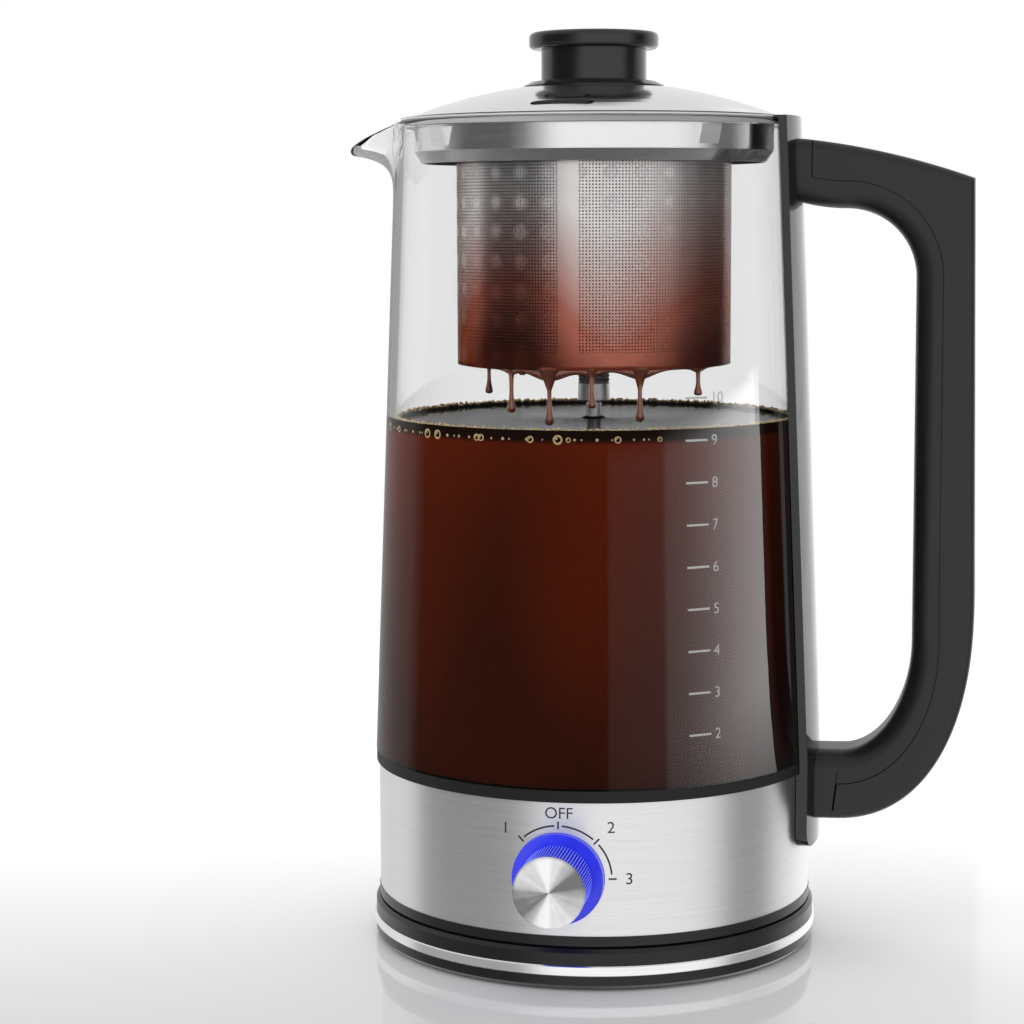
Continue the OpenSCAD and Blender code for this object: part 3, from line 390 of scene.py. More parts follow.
def silicone(name):
    """Translucent silicone, with dark lines painted round it by height as painted shade."""
    paint = Paint(name, ior=1.42, through=0.3)
    height = paint.parts(paint.place())["Z"]
    lines = paint.maths("COSINE", paint.span(height, *GASKET_Z, 0.0, 4 * math.pi), 0.0)
    cloud = paint.uneven(paint.noise(40.0), 0.0, 0.1)
    # Painted shade: dark lines round the gasket, by height
    share = paint.maths("ADD", paint.span(lines, 0.3, 0.9, 0.0, 0.8), cloud)
    paint.drive("colour", paint.between(share, (0.88, 0.88, 0.88), (0.10, 0.10, 0.10)))
    paint.roughen(paint.noise(40.0), 0.22, 0.28)
    return paint.material


def coffee(name):
    """Brewed coffee with painted light and shade: painted shade low down, along its edge and by the spine,
    painted red brown light where light gets in.
    """
    low, high, painted_shade_tint = (0.042, 0.0072, 0.0026), (0.145, 0.016, 0.0018), (0.010, 0.0035, 0.002)
    edge_deep, edge_fade = 1.6 * MM, 3.0 * MM
    spine_from, spine_full = 48 * MM, 59 * MM
    paint = Paint(name, ior=1.34, specular=0.0)
    x, _, height = paint.parts(paint.place())
    level = paint.span(height, PLATE_Z, COFFEE_Z)
    cloud = paint.uneven(paint.noise((17.0, 17.0, 8.0), 1.5), -0.4, 0.4)
    # Painted light: brighter and redder higher up, painted shade lower down
    body = paint.between(paint.span(paint.maths("ADD", level, cloud), 0.25, 1.15), low, high)
    # Painted shade in a band just below the surface
    edge = paint.span(height, COFFEE_Z - edge_fade, COFFEE_Z - edge_deep)
    # Painted shade where the spine stands in the light's way
    hidden = paint.span(x, spine_from, spine_full)
    paint.drive("colour", paint.between(paint.maths("MAXIMUM", edge, hidden), body, painted_shade_tint))
    paint.roughen(paint.noise(40.0), 0.6, 0.7)
    return paint.material


def coffee_surface(name):
    """Still top of the coffee, a dark mirror."""
    paint = Paint(name, metal=1.0, edge=(0.0, 0.0, 0.0))
    ripple = paint.noise(25.0)
    paint.drive("colour", paint.between(ripple, (0.055, 0.036, 0.03), (0.09, 0.066, 0.06)))
    paint.roughen(ripple, 0.06, 0.12)
    return paint.material


def syrup(name):
    """Glossy drips of coffee."""
    paint = Paint(name, ior=1.4, metal=0.4, coat=1.0, coat_rough=0.03)
    paint.drive("colour", paint.between(paint.noise(260.0), (0.20, 0.055, 0.030), (0.34, 0.11, 0.065)))
    paint.roughen(paint.noise(120.0), 0.12, 0.22)
    return paint.material


def foam(name):
    """Golden bubbles."""
    paint = Paint(name, ior=1.33, coat=0.8, coat_rough=0.05)
    paint.drive("colour", paint.between(paint.noise(420.0), (0.34, 0.18, 0.05), (0.90, 0.74, 0.42)))
    paint.roughen(paint.noise(300.0), 0.08, 0.2)
    return paint.material


def lit_plastic(name, low, high, power):
    """Clear plastic lit blue from inside."""
    paint = Paint(name, rough=0.2, ior=1.49, glow_power=power)
    glow = paint.between(paint.noise(220.0), low, high)
    paint.drive("colour", glow)
    paint.drive("glow", glow)
    return paint.material


def ink(name, dark, light):
    """Printed ink, a little uneven."""
    paint = Paint(name)
    paint.drive("colour", paint.between(paint.noise(900.0), dark, light))
    paint.roughen(paint.noise(400.0), 0.4, 0.6)
    return paint.material


def small_metal(name, tint, rough, edge=(1.0, 1.0, 1.0)):
    """Plated, plain or stained metal of the pieces inside."""
    paint = Paint(name, metal=1.0, edge=edge)
    marks = paint.noise(400.0)
    paint.drive("colour", paint.between(marks, tuple(0.8 * part for part in tint), tint))
    paint.roughen(marks, rough - 0.08, rough + 0.08)
    return paint.material


def moulded(name, dark, light, rough):
    """Plain coloured plastic or board of hidden pieces."""
    paint = Paint(name)
    marks = paint.noise(350.0)
    paint.drive("colour", paint.between(marks, dark, light))
    paint.roughen(marks, rough - 0.08, rough + 0.08)
    paint.relief(marks, 0.1, 0.05 * MM)
    return paint.material


ROUND_STREAKS = (40.0, 40.0, 5200.0)
CASE_BLACK = black_plastic("case_black", (0.006, 0.006, 0.007), (0.010, 0.010, 0.011), 0.3, specular=0.3)
HANDLE_BLACK = black_plastic("handle_black", (0.007, 0.007, 0.008), (0.011, 0.011, 0.012), 0.34,
                             specular=0.35)
SPINE_BLACK = black_plastic("spine_black", (0.006, 0.006, 0.007), (0.009, 0.009, 0.010), 0.13, specular=0.45)
KNOB_BLACK = black_plastic("knob_black", (0.004, 0.004, 0.005), (0.008, 0.008, 0.009), 0.16, 900.0)
RUBBER = black_plastic("rubber_black", (0.006, 0.006, 0.006), (0.012, 0.011, 0.010), 0.6, specular=0.25)
BAND_STEEL = steel("band_steel", (0.72, 0.72, 0.72), 0.36, 0.8, ROUND_STREAKS, "Z")
TRIM_STEEL = steel("trim_steel", (0.80, 0.80, 0.80), 0.2, 0.5, ROUND_STREAKS, "Z", 0.01)
# Painted shade: the lid's downward lip mid grey, the dome's underside and steep faces near black
LID_STEEL = lid_steel("lid_steel", (0.84, 0.84, 0.835), (0.89, 0.89, 0.885), -0.35, (0.27, 0.27, 0.27))
DOME_STEEL = lid_steel("dome_steel", (0.77, 0.77, 0.765), (0.82, 0.82, 0.815), 0.6, (0.03, 0.03, 0.03))
CAP_STEEL = spun_steel("cap_steel", (0.20, 0.20, 0.205), (0.98, 0.98, 0.98))
BASKET_STEEL = stained_steel("basket_steel", (0.70, 0.675, 0.665), 0.42)
# The drum's near black brown is coffee stain deepened by painted shade, so its holes read dark behind the
# mesh
DRUM_STEEL = small_metal("drum_steel", (0.045, 0.022, 0.015), 0.4, FILM_EDGE)
SATIN_STEEL = satin_steel("satin_steel")
GLASS = clear_glass("carafe_clear")
SILICONE = silicone("gasket_silicone")
COFFEE = coffee("brewed_coffee")
COFFEE_TOP = coffee_surface("coffee_surface")
SYRUP = syrup("coffee_drip")
FOAM = foam("coffee_foam")
RING_BLUE = lit_plastic("ring_blue", (0.008, 0.012, 0.36), (0.022, 0.03, 0.60), 0.62)
KNOB_BLUE = knurled_plastic("knob_blue", (0.004, 0.006, 0.20), (0.16, 0.20, 0.95), 0.5)
DIAL_INK = ink("dial_ink", (0.008, 0.008, 0.012), (0.02, 0.02, 0.028))
SCALE_INK = ink("scale_ink", (0.34, 0.32, 0.31), (0.42, 0.40, 0.39))
PLATED = small_metal("plated_steel", (0.55, 0.56, 0.57), 0.35)
ALUMINIUM = small_metal("plain_aluminium", (0.78, 0.78, 0.79), 0.4)
BRASS = small_metal("plain_brass", (0.70, 0.48, 0.18), 0.3)
BOARD = moulded("board_green", (0.015, 0.10, 0.035), (0.03, 0.17, 0.06), 0.45)
RED_WIRE = moulded("wire_red", (0.36, 0.03, 0.02), (0.5, 0.05, 0.03), 0.45)
BROWN_WIRE = moulded("wire_brown", (0.12, 0.05, 0.02), (0.2, 0.08, 0.03), 0.45)
GREY_WIRE = moulded("wire_grey", (0.4, 0.4, 0.4), (0.55, 0.55, 0.55), 0.45)

FINISHES = {
    "black_plastic": CASE_BLACK, "gloss_black": KNOB_BLACK, "rubber": RUBBER, "clear_silicone": SILICONE,
    "polished_steel": LID_STEEL, "brushed_steel": BAND_STEEL, "mesh_steel": BASKET_STEEL,
    "screw_steel": PLATED, "aluminium": ALUMINIUM, "brass": BRASS, "clear_glass": GLASS,
    "circuit_board": BOARD, "wire_red": RED_WIRE, "wire_brown": BROWN_WIRE, "wire_grey": GREY_WIRE,
    "lit_blue": RING_BLUE,
}
SPECIAL = {
    "handle_grip": HANDLE_BLACK, "handle_cover": HANDLE_BLACK, "handle_spine": SPINE_BLACK,
    "lid_dome": DOME_STEEL, "base_trim_ring": TRIM_STEEL, "knob_cap": CAP_STEEL, "knob_body": KNOB_BLUE,
    "pump_tube": SATIN_STEEL, "pump_foot": SATIN_STEEL, "pump_collar": SATIN_STEEL,
    "basket_drum": DRUM_STEEL, "basket_floor": BASKET_STEEL, "basket_rim": SATIN_STEEL,
    "basket_sleeve": SATIN_STEEL, "basket_cover": SATIN_STEEL,
}
SMOOTH_ANGLE = math.radians(32)


def finish_nodes():
    """Gives every CAD node its material and smooth shading."""
    for part in frame["record"]["subparts"]:
        mesh = NODES[part["node"]].data
        mesh.materials.clear()
        mesh.materials.append(SPECIAL.get(part["node"], FINISHES[part["material_slot"]]))
        mesh.shade_smooth()
        mesh.set_sharp_from_angle(angle=SMOOTH_ANGLE)


# Pieces

def piece(name, points, faces, material, body, slot):
    """A mesh that rides on a body."""
    mesh = bpy.data.meshes.new(name)
    mesh.from_pydata(points, [], faces)
    mesh.validate()
    mesh.materials.append(material)
    mesh.shade_smooth()
    mesh.set_sharp_from_angle(angle=SMOOTH_ANGLE)
    made = bpy.data.objects.new(name, mesh)
    bpy.context.scene.collection.objects.link(made)
    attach(made, body)
    return made


def turned(profile_at, angles):
    """Points and faces of a closed loop of (radius, height), given for each angle, turned round the axis."""
    loops = [profile_at(angle) for angle in angles]
    count, steps = len(loops[0]), len(angles)
    points = [(r * math.cos(angle), r * math.sin(angle), z)
              for angle, loop in zip(angles, loops) for r, z in loop]
    faces = [(k * count + i, (k + 1) % steps * count + i,
              (k + 1) % steps * count + (i + 1) % count, k * count + (i + 1) % count)
             for k in range(steps) for i in range(count)]
    return points, faces


def lathe(profile, steps):
    """The same loop at every angle."""
    return turned(lambda angle: profile, [2 * math.pi * k / steps for k in range(steps)])


def tube_faces(loops, count):
    """Faces of a closed tube through loops of count points each, with its two end faces."""
    faces = [(k * count + i, k * count + (i + 1) % count,
              (k + 1) * count + (i + 1) % count, (k + 1) * count + i)
             for k in range(loops - 1) for i in range(count)]
    last = (loops - 1) * count
    return faces + [tuple(range(count))[::-1], tuple(range(last, last + count))]


def merged(parts):
    """Several (points, faces) as one."""
    points, faces = [], []
    for part_points, part_faces in parts:
        first = len(points)
        points += part_points
        faces += [tuple(first + i for i in face) for face in part_faces]
    return points, faces


def make_glass():
    """Carafe glass with its drawn spout, one smooth skin."""
    half = math.radians(21)
    start = 220 * MM
    steps, cap_steps, spout_steps, round_steps = 24, 6, 72, 140
    sharpness = 1.5
    rim = GLASS_WALL / 2
    tip = min((v.co for v in NODES["carafe_glass"].data.vertices), key=lambda place: place.x)
    lip_z = GLASS_Z1 - 9.6 * MM
    neck_r, neck_drop, bend_drop = 62.5 * MM, 1.5 * MM, 5 * MM
    pull = [Vector((glass_at(start), start)), Vector((glass_at(start), lip_z - bend_drop)),
            Vector((neck_r, lip_z - neck_drop)), Vector((-tip.x - rim, lip_z))]

    def drawn(t):
        """The spout's middle line from the wall, t = 0, to its lip, t = 1."""
        u = 1 - t
        return u ** 3 * pull[0] + 3 * u * u * t * pull[1] + 3 * u * t * t * pull[2] + t ** 3 * pull[3]

    def plain(t):
        """The wall beside the spout, from the same height up to the rim."""
        z = start + (GLASS_Z1 - rim - start) * t
        return Vector((glass_at(z), z))

    def profile_at(angle):
        off = abs(angle - math.pi)
        share = ((1 + math.cos(math.pi * off / half)) / 2) ** sharpness if off < half else 0.0
        outside = [Vector((FOOT_R, GLASS_Z0))]
        outside += [plain(k / steps).lerp(drawn(k / steps), share) for k in range(steps + 1)]
        inside = []
        for k, point in enumerate(outside):
            along = (outside[min(k + 1, len(outside) - 1)] - outside[max(k - 1, 0)]).normalized()
            inside.append(point + Vector((-along.y, along.x)) * GLASS_WALL)
        inside[0] = Vector((FOOT_IN_R, GLASS_Z0))
        middle = (outside[-1] + inside[-1]) / 2
        across = outside[-1] - middle
        turns = [math.pi * k / cap_steps for k in range(1, cap_steps)]
        cap = [middle + across * math.cos(a) + along * rim * math.sin(a) for a in turns]
        return [tuple(point) for point in outside + cap + inside[::-1]]

    fine = [math.pi - half + 2 * half * k / spout_steps for k in range(spout_steps)]
    rest = [math.pi + half + (2 * math.pi - 2 * half) * k / round_steps for k in range(round_steps)]
    made = piece("carafe_skin", *turned(profile_at, fine + rest), GLASS, "kettle", "clear_glass")
    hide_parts("carafe_glass")


class Handle:
    """Outline of the handle in millimetres, in the plane of X and Z, as in the construction.

    Each run gives an inner point, an outer point and the distance of the groove from the inner edge.
    """
    low_rise, low_thick, arm_thick = 23.3, 20.4, 25.8
    top, low = GLASS_Z1 / MM, BAND_Z0 / MM + low_rise
    half_wide = 11.0
    round_in, round_out = 6.0, 2.8
    groove, groove_deep, tongue = 0.3, 1.2, 0.05
    grip_in, grip_out, corner, grip_lean = 95.2, 113.4, 111.5, 0.2
    root, start = 60.0, 50.0
    bend_r, low_in_a, low_in_b, low_out_a, low_out_b = 20.0, 20.4, 33.6, 40.9, 66.0
    low_power = 2.3
    seam, seam_bend, seam_arm = 8.0, 1.6, 0.6
    arm_drop, arm_slope, arm_curve, arm_sag = 5.5, 5.2, 6.6, 0.15
    low_in_sag, low_out_sag = 0.127, 0.11
    bend_x, bend_z = grip_in - bend_r, top - arm_thick - bend_r
    low_in_x, low_in_z = grip_in + grip_lean - low_in_a, low + low_thick + low_in_b
    low_out_x, low_out_z = grip_out - low_out_a, low + low_out_b
    arm_run = bend_x - root

    def arm_top(self, x):
        t = (x - self.root) / (self.corner - self.root)
        return self.top - self.arm_drop - self.arm_slope * t - self.arm_curve * t * t

    def back(self, z):
        t = (z - self.low_out_z) / (self.arm_top(self.corner) - self.low_out_z)
        return self.grip_out - t * (self.grip_out - self.corner), z

    def upper_arm(self, x):
        away = self.bend_x - x
        inner = (x, self.bend_z + self.bend_r + self.arm_sag * away * away / self.arm_run)
        return inner, (x, self.arm_top(x)), self.seam

    def upper_bend(self, t):
        """Round the upper bend, t = 0 to 1. The outer corner is half way."""
        a = math.pi / 2 * (1 - t)
        x = self.bend_x + (self.corner - self.bend_x) * min(2 * t, 1)
        edge = self.arm_top(self.corner)
        outer = (x, self.arm_top(x)) if t <= 0.5 else self.back(edge + (2 * t - 1) * (self.bend_z - edge))
        inner = (self.bend_x + self.bend_r * math.cos(a), self.bend_z + self.bend_r * math.sin(a))
        return inner, outer, self.seam

    def grip(self, t):
        inner = (self.grip_in + self.grip_lean * t, self.bend_z + t * (self.low_in_z - self.bend_z))
        return inner, self.back(self.bend_z + t * (self.low_out_z - self.bend_z)), self.seam

    def lower_bend(self, t):
        a, p = math.pi / 2 * t, 2 / self.low_power
        outer = (self.low_out_x + self.low_out_a * max(math.cos(a), 0) ** p,
                 self.low_out_z - self.low_out_b * math.sin(a) ** p)
        inner = self.low_in_x + self.low_in_a * math.cos(a), self.low_in_z - self.low_in_b * math.sin(a)
        return inner, outer, self.seam + self.seam_bend * t

    def lower_arm(self, t):
        in_run, out_run = self.low_in_x - self.start, self.low_out_x - self.start
        inner = (self.low_in_x + t * (self.start - self.low_in_x),
                 self.low_in_z - self.low_in_b - self.low_in_sag * t * t * in_run)
        outer = (self.low_out_x + t * (self.start - self.low_out_x),
                 self.low - self.low_out_sag * t * t * out_run)
        return inner, outer, self.seam + self.seam_bend + self.seam_arm * t

    def corners(self, reach, side, r, first, last):
        """Rounded edge of a section on one side, as (distance from the inner edge, from the middle)."""
        steps = 8
        turns = [math.radians(first + (last - first) * k / steps) for k in range(steps + 1)]
        return [(reach + r * math.cos(a), side * (self.half_wide - r) + r * math.sin(a)) for a in turns]

    def inner_edges(self):
        r = self.round_in
        return self.corners(r, 1, r, 180, 90), self.corners(r, -1, r, -90, -180)

    def outer_edges(self, length):
        r = self.round_out
        return self.corners(length - r, 1, r, 90, 0) + self.corners(length - r, -1, r, 0, -90)

    def whole(self, length, seam):
        """Section where the handle has no groove."""
        left, right = self.inner_edges()
        return left + self.outer_edges(length) + right

    def inside(self, length, seam):
        """Section on the finger side, with a tongue that closes the groove."""
        wide, narrow = self.half_wide, self.half_wide - self.groove_deep
        edge = [(seam - self.groove, wide), (seam - self.groove, narrow), (seam + self.tongue, narrow)]
        left, right = self.inner_edges()
        return left + edge + [(reach, -side) for reach, side in edge[::-1]] + right

    def outside(self, length, seam):
        """Section on the back."""
        return [(seam, self.half_wide)] + self.outer_edges(length) + [(seam, -self.half_wide)]


SPINE_GAP = 0.05


def handle_run(pairs, section, trim_first=False, trim_last=False):
    """A section swept through pairs of an inner and an outer point, its ends trimmed to the spine."""
    rings = []
    for k, ((x0, z0), (x1, z1), seam) in enumerate(pairs):
        length = math.hypot(x1 - x0, z1 - z0)
        along = Vector((x1 - x0, z1 - z0)) / length
        edge = Vector(pairs[min(k + 1, len(pairs) - 1)][0]) - Vector(pairs[max(k - 1, 0)][0])
        square = abs(along.x * edge.y - along.y * edge.x) / edge.length
        rings.append([(x0 + along.x * reach, side, z0 + along.y * reach)
                      for reach, side in section(length, seam / square)])
    for ring, trim in ((rings[0], trim_first), (rings[-1], trim_last)):
        if trim:
            ring[:] = [(math.sqrt((spine_at(z * MM) / MM + SPINE_GAP) ** 2 - y * y), y, z)
                       for _, y, z in ring]
    points = [(x * MM, y * MM, z * MM) for ring in rings for x, y, z in ring]
    return points, tube_faces(len(rings), len(rings[0]))


def make_handle():
    """Smooth skins of the two handle halves, with a short whole stub at each end."""
    line = Handle()
    top_stub_run, low_stub_run, arm_depth, stub_steps = 4, 4.2, 16 * MM, 2
    arm_steps, bend_steps, grip_steps, low_bend_steps, low_arm_steps = 10, 36, 16, 44, 8
    low_run = line.low_out_x - line.start
    spine_top, spine_low = spine_at(GLASS_Z1) / MM, spine_at(GLASS_Z0) / MM
    top_x = spine_top + top_stub_run
    low_t = (line.low_out_x - spine_low - low_stub_run) / low_run
    arm_end = spine_at(GLASS_Z1 - arm_depth) / MM
    low_end = (line.low_out_x - spine_low) / low_run
    top_stub = [line.upper_arm(arm_end + (top_x - arm_end) * k / stub_steps) for k in range(stub_steps + 1)]
    low_stub = [line.lower_arm(low_t + (low_end - low_t) * k / stub_steps) for k in range(stub_steps + 1)]
    run = [line.upper_arm(top_x + (line.bend_x - top_x) * k / arm_steps) for k in range(arm_steps + 1)]
    run += [line.upper_bend(k / bend_steps) for k in range(1, bend_steps + 1)]
    run += [line.grip(k / grip_steps) for k in range(1, grip_steps + 1)]
    run += [line.lower_bend(k / low_bend_steps) for k in range(1, low_bend_steps + 1)]
    run += [line.lower_arm(low_t * k / low_arm_steps) for k in range(1, low_arm_steps + 1)]
    first = line.upper_arm(top_x + line.groove)
    last = line.lower_arm(low_t - line.groove / low_run)
    halves = {
        "handle_grip": [handle_run(top_stub, line.whole, trim_first=True), handle_run(run, line.inside),
                        handle_run(low_stub, line.whole, trim_last=True)],
        "handle_cover": [handle_run([first] + run[1:-1] + [last], line.outside)],
    }
    for node, parts in halves.items():
        made = piece(node + "_skin", *merged(parts), HANDLE_BLACK, "kettle", "black_plastic")
        even = made.modifiers.new("even", "WEIGHTED_NORMAL")
        even.keep_sharp = True
        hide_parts(node)


def blob(place, sections, sides):
    """A small turned drop at a point, from (radius, height) sections."""
    x, y, z = place
    turns = [2 * math.pi * k / sides for k in range(sides)]
    points = [(x + r * math.cos(a), y + r * math.sin(a), z + rise) for r, rise in sections for a in turns]
    return points, tube_faces(len(sections), sides)


# Drips, as (radius in millimetres, share of the length), and roots, as (share of the root, of the length)
DRIP_SHAPE = [(0.15, 1.0), (0.8, 0.985), (1.15, 0.95), (1.25, 0.9), (1.1, 0.83), (0.8, 0.72),
              (0.6, 0.55), (0.6, 0.38)]
DRIP_ROOT = [(0.45, 0.22), (0.62, 0.12), (0.85, 0.05), (1.0, 0.0), (0.8, -0.04), (0.3, -0.06)]
# Angle from the front in degrees, length and root in millimetres
DRIPS = [(-28.0, 12.8, 1.5), (-9.9, 16.0, 3.4), (8.0, 11.0, 1.8), (28.2, 15.0, 2.8), (58.5, 8.3, 1.5),
         (156.0, 5.0, 1.4), (224.0, 6.0, 1.4), (245.0, 11.0, 1.6)]


def make_drips():
    """Drops of coffee that hang from the edge of the basket's floor, joined by a film."""
    low = heights("basket_floor")[0]
    ring = BASKET_R - 1.6 * MM
    sides, film_steps = 16, 360
    film_depth, root_depth, root_reach = 0.3, 0.85, 1.9
    parts = []
    for angle, length, root in DRIPS:
        turn = math.radians(angle)
        shape = DRIP_SHAPE + [(r * root, drop) for r, drop in DRIP_ROOT]
        sections = [(r * MM, -drop * length * MM) for r, drop in shape]
        parts.append(blob((ring * math.sin(turn), -ring * math.cos(turn), low + EDGE), sections, sides))

    def film_at(angle):
        """Section of the film that joins the drips, deeper at each root."""
        deep = film_depth
        for place, _, root in DRIPS:
            off = (angle + math.pi / 2 - math.radians(place) + math.pi) % (2 * math.pi) - math.pi
            deep += root_depth * root * math.exp(-(off * ring / (root_reach * root * MM)) ** 2)
        half = [(0.8, -EDGE / MM), (0.8, 0.3 * deep), (0.45, 0.8 * deep)]
        loop = half + [(0.0, deep)] + [(-wide, drop) for wide, drop in half[::-1]]
        return [(ring + wide * MM, low - drop * MM) for wide, drop in loop]

    parts.append(turned(film_at, [2 * math.pi * k / film_steps for k in range(film_steps)]))
    piece("coffee_drips", *merged(parts), SYRUP, "basket", "gloss_black")


BUBBLE = [(math.sin(math.pi * k / 8) + 0.02, -math.cos(math.pi * k / 8)) for k in range(9)]
FRONT_SIZES = 0.25, 0.32, 0.38, 0.45, 0.6, 0.8, 1.1


def make_foam():
    """Bubbles where the coffee meets the glass, with a few larger ones flat against it in front."""
    chance = random.Random(7)
    wall = glass_at(COFFEE_Z) - GLASS_WALL
    ring_count, front_count = 620, 34
    ring_r, ring_inset, ring_climb = (0.26, 0.56), (-0.1, 0.35), (0.6, 1.3)
    front_sink, hollow_sink = 0.3 * MM, 0.32 * MM
    front_from, front_span = -68, 96
    front_rise = -1.5 * MM
    hollow_from = 0.5 * MM
    flat_share = 0.3
    parts = []

    def upright(angle):
        return Matrix.Rotation(angle - math.pi / 2, 3, "Z")

    def bubble(angle, r, place, rise, flat=1.0):
        """A bubble with its middle at a distance from the axis, flattened along the radius."""
        points, faces = blob((0, 0, COFFEE_Z + rise), [(r * wide, r * high) for wide, high in BUBBLE], 10)
        turn = upright(angle)
        parts.append(([tuple(turn @ Vector((place + x * flat, y, z))) for x, y, z in points], faces))

    def hollow(angle, r, place, rise):
        """A larger bubble against the glass, drawn as its bright edge, with a small bead beside it as a
        painted glint.
        """
        thick, around, corners = 0.26 * r, 16, 6
        squash, glint = 0.6, 0.3 * r
        turns = [2 * math.pi * k / corners for k in range(corners)]
        points, faces = lathe([(r + thick * math.cos(a), thick * math.sin(a)) for a in turns], around)
        turn, lift = upright(angle), Vector((0, 0, COFFEE_Z + rise))
        parts.append(([tuple(turn @ Vector((place + z * squash, x, y)) + lift) for x, y, z in points], faces))
        # A small bead of foam as a painted glint
        bubble(angle - glint / place, glint, place, rise + glint, flat_share)

    for k in range(ring_count):
        angle = 2 * math.pi * (k + chance.random()) / ring_count
        r = chance.uniform(*ring_r) * MM
        bubble(angle, r, wall - r - chance.uniform(*ring_inset) * MM, MENISCUS * chance.uniform(*ring_climb))
    for k in range(front_count):
        angle = math.radians(front_from + front_span * (k + chance.random()) / front_count)
        r = chance.choice(FRONT_SIZES) * MM
        if r < hollow_from:
            bubble(angle, r, wall + front_sink, front_rise, flat_share)
        else:
            hollow(angle, r, wall + hollow_sink, front_rise)
    piece("coffee_foam", *merged(parts), FOAM, "kettle", "clear_silicone")


def make_coffee():
    """Coffee that fills the carafe round the pump, with a meniscus."""
    inset = 0.4 * MM
    soak = 0.15 * MM
    bell_edge = 3 * MM
    wall_curve, tube_curve, curve_steps, round_steps = 3 * MM, 1.5 * MM, 6, 192
    upward = 0.3
    wall_top = glass_at(COFFEE_Z) - GLASS_WALL + soak
    wall_low = FOOT_IN_R + soak
    film = FOOT_IN_R - soak
    tube = TUBE_R + inset
    profile = [
        (tube, COFFEE_Z + MENISCUS / 2), (tube, BELL_Z + inset),
        (BELL_R + inset, PLATE_Z + bell_edge + inset), (BELL_R + inset, PLATE_Z + EDGE),
        (SEAL_IN_R - EDGE, PLATE_Z + EDGE),
        (SEAL_IN_R - EDGE, SEAL_Z + EDGE), (film, SEAL_Z + EDGE), (film, GLASS_Z0 + EDGE),
        (wall_low, GLASS_Z0 + EDGE), (wall_top, COFFEE_Z + MENISCUS),
    ]
    for k in range(1, curve_steps + 1):
        climb = MENISCUS * (1 - k / curve_steps) ** 2
        profile.append((wall_top - wall_curve * k / curve_steps, COFFEE_Z + climb))
    for k in range(curve_steps, 0, -1):
        climb = MENISCUS / 2 * (1 - k / curve_steps) ** 2
        profile.append((tube + tube_curve * k / curve_steps, COFFEE_Z + climb))
    made = piece("coffee", *lathe(profile, round_steps), COFFEE, "kettle", "gloss_black")
    made.data.materials.append(COFFEE_TOP)
    for face in made.data.polygons:
        face.material_index = int(face.normal.z > upward and face.center.z > COFFEE_Z - EDGE)


def make_basket():
    """Fine mesh sleeve of flat wires, with a plain seam and a plain lower band."""
    pitch = 0.93 * MM
    wire = 0.52 * MM
    thick = 0.2 * MM
    band = 5 * MM
    uprights = round(2 * math.pi * BASKET_R / pitch)
    rows = int((BASKET_Z1 - BASKET_Z0 - band) / pitch)
    outer = BASKET_R - 0.05 * MM
    lift = 0.02 * MM
    ring_steps = 180
    parts = []

    def bar(angle, half):
        """An upright that spans angle - half to angle + half."""
        cuts = max(1, round(half / (wire / BASKET_R)))
        angles = [angle - half + 2 * half * k / cuts for k in range(cuts + 1)]
        corners = [(r * math.sin(a), -r * math.cos(a), z) for a in angles
                   for r, z in ((outer, BASKET_Z0), (outer, BASKET_Z1),
                                (outer - thick, BASKET_Z1), (outer - thick, BASKET_Z0))]
        return corners, tube_faces(cuts + 1, 4)

    def hoop(low, high):
        """A ring just under the uprights' face."""
        return lathe([(outer - lift, low), (outer - lift, high), (outer - thick - lift, high),
                      (outer - thick - lift, low)], ring_steps)

    for k in range(uprights):
        angle = 2 * math.pi * k / uprights
        gap = (angle - SEAM_ANGLE + math.pi) % (2 * math.pi) - math.pi
        if abs(gap) > SEAM_HALF:
            parts.append(bar(angle, wire / 2 / BASKET_R))
    parts.append(bar(SEAM_ANGLE, SEAM_HALF))
    for k in range(rows):
        middle = BASKET_Z0 + band + (k + 0.5) * pitch
        parts.append(hoop(middle - wire / 2, middle + wire / 2))
    parts.append(hoop(BASKET_Z0, BASKET_Z0 + band))
    sleeve = piece("basket_weave", *merged(parts), BASKET_STEEL, "basket", "mesh_steel")
    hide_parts("basket_mesh")


# Prints

PRINT_T = 0.04 * MM


def on_glass(angle):
    """Places a print on the glass: u runs right from an angle off the front, v is the height."""
    def put(u, v, w):
        r = glass_at(v) + w
        a = angle + u / r
        return r * math.sin(a), -r * math.cos(a), v
    return put


def on_band(u, v, w):
    """Places a print on the band: u and v are measured from the dial's axis."""
    return u, -math.sqrt(BAND_R * BAND_R - u * u) - w, DIAL_Z + v


def stroke(path, width, put):
    """A printed line along (u, v) points."""
    points = []
    for k, (u, v) in enumerate(path):
        before, after = path[max(k - 1, 0)], path[min(k + 1, len(path) - 1)]
        du, dv = after[0] - before[0], after[1] - before[1]
        scale = width / 2 / math.hypot(du, dv)
        for side, w in ((1, 0.0), (1, PRINT_T), (-1, PRINT_T), (-1, 0.0)):
            points.append(put(u - side * dv * scale, v + side * du * scale, w))
    return points, tube_faces(len(path), 4)


# Height of a capital as a share of the font's size
CAP_SHARE = 0.69


def words(text, height, u, v, put):
    """Printed figures with their lower left corner at (u, v)."""
    curve = bpy.data.curves.new("figures", "FONT")
    curve.body = text
    curve.size = height / CAP_SHARE
    curve.extrude = PRINT_T / 2
    made = bpy.data.objects.new("figures", curve)
    bpy.context.scene.collection.objects.link(made)
    bpy.context.view_layer.update()
    mesh = made.to_mesh()
    points = [put(u + p.co.x, v + p.co.y, p.co.z + PRINT_T / 2) for p in mesh.vertices]
    faces = [tuple(face.vertices) for face in mesh.polygons]
    made.to_mesh_clear()
    bpy.data.objects.remove(made)
    bpy.data.curves.remove(curve)
    return points, faces


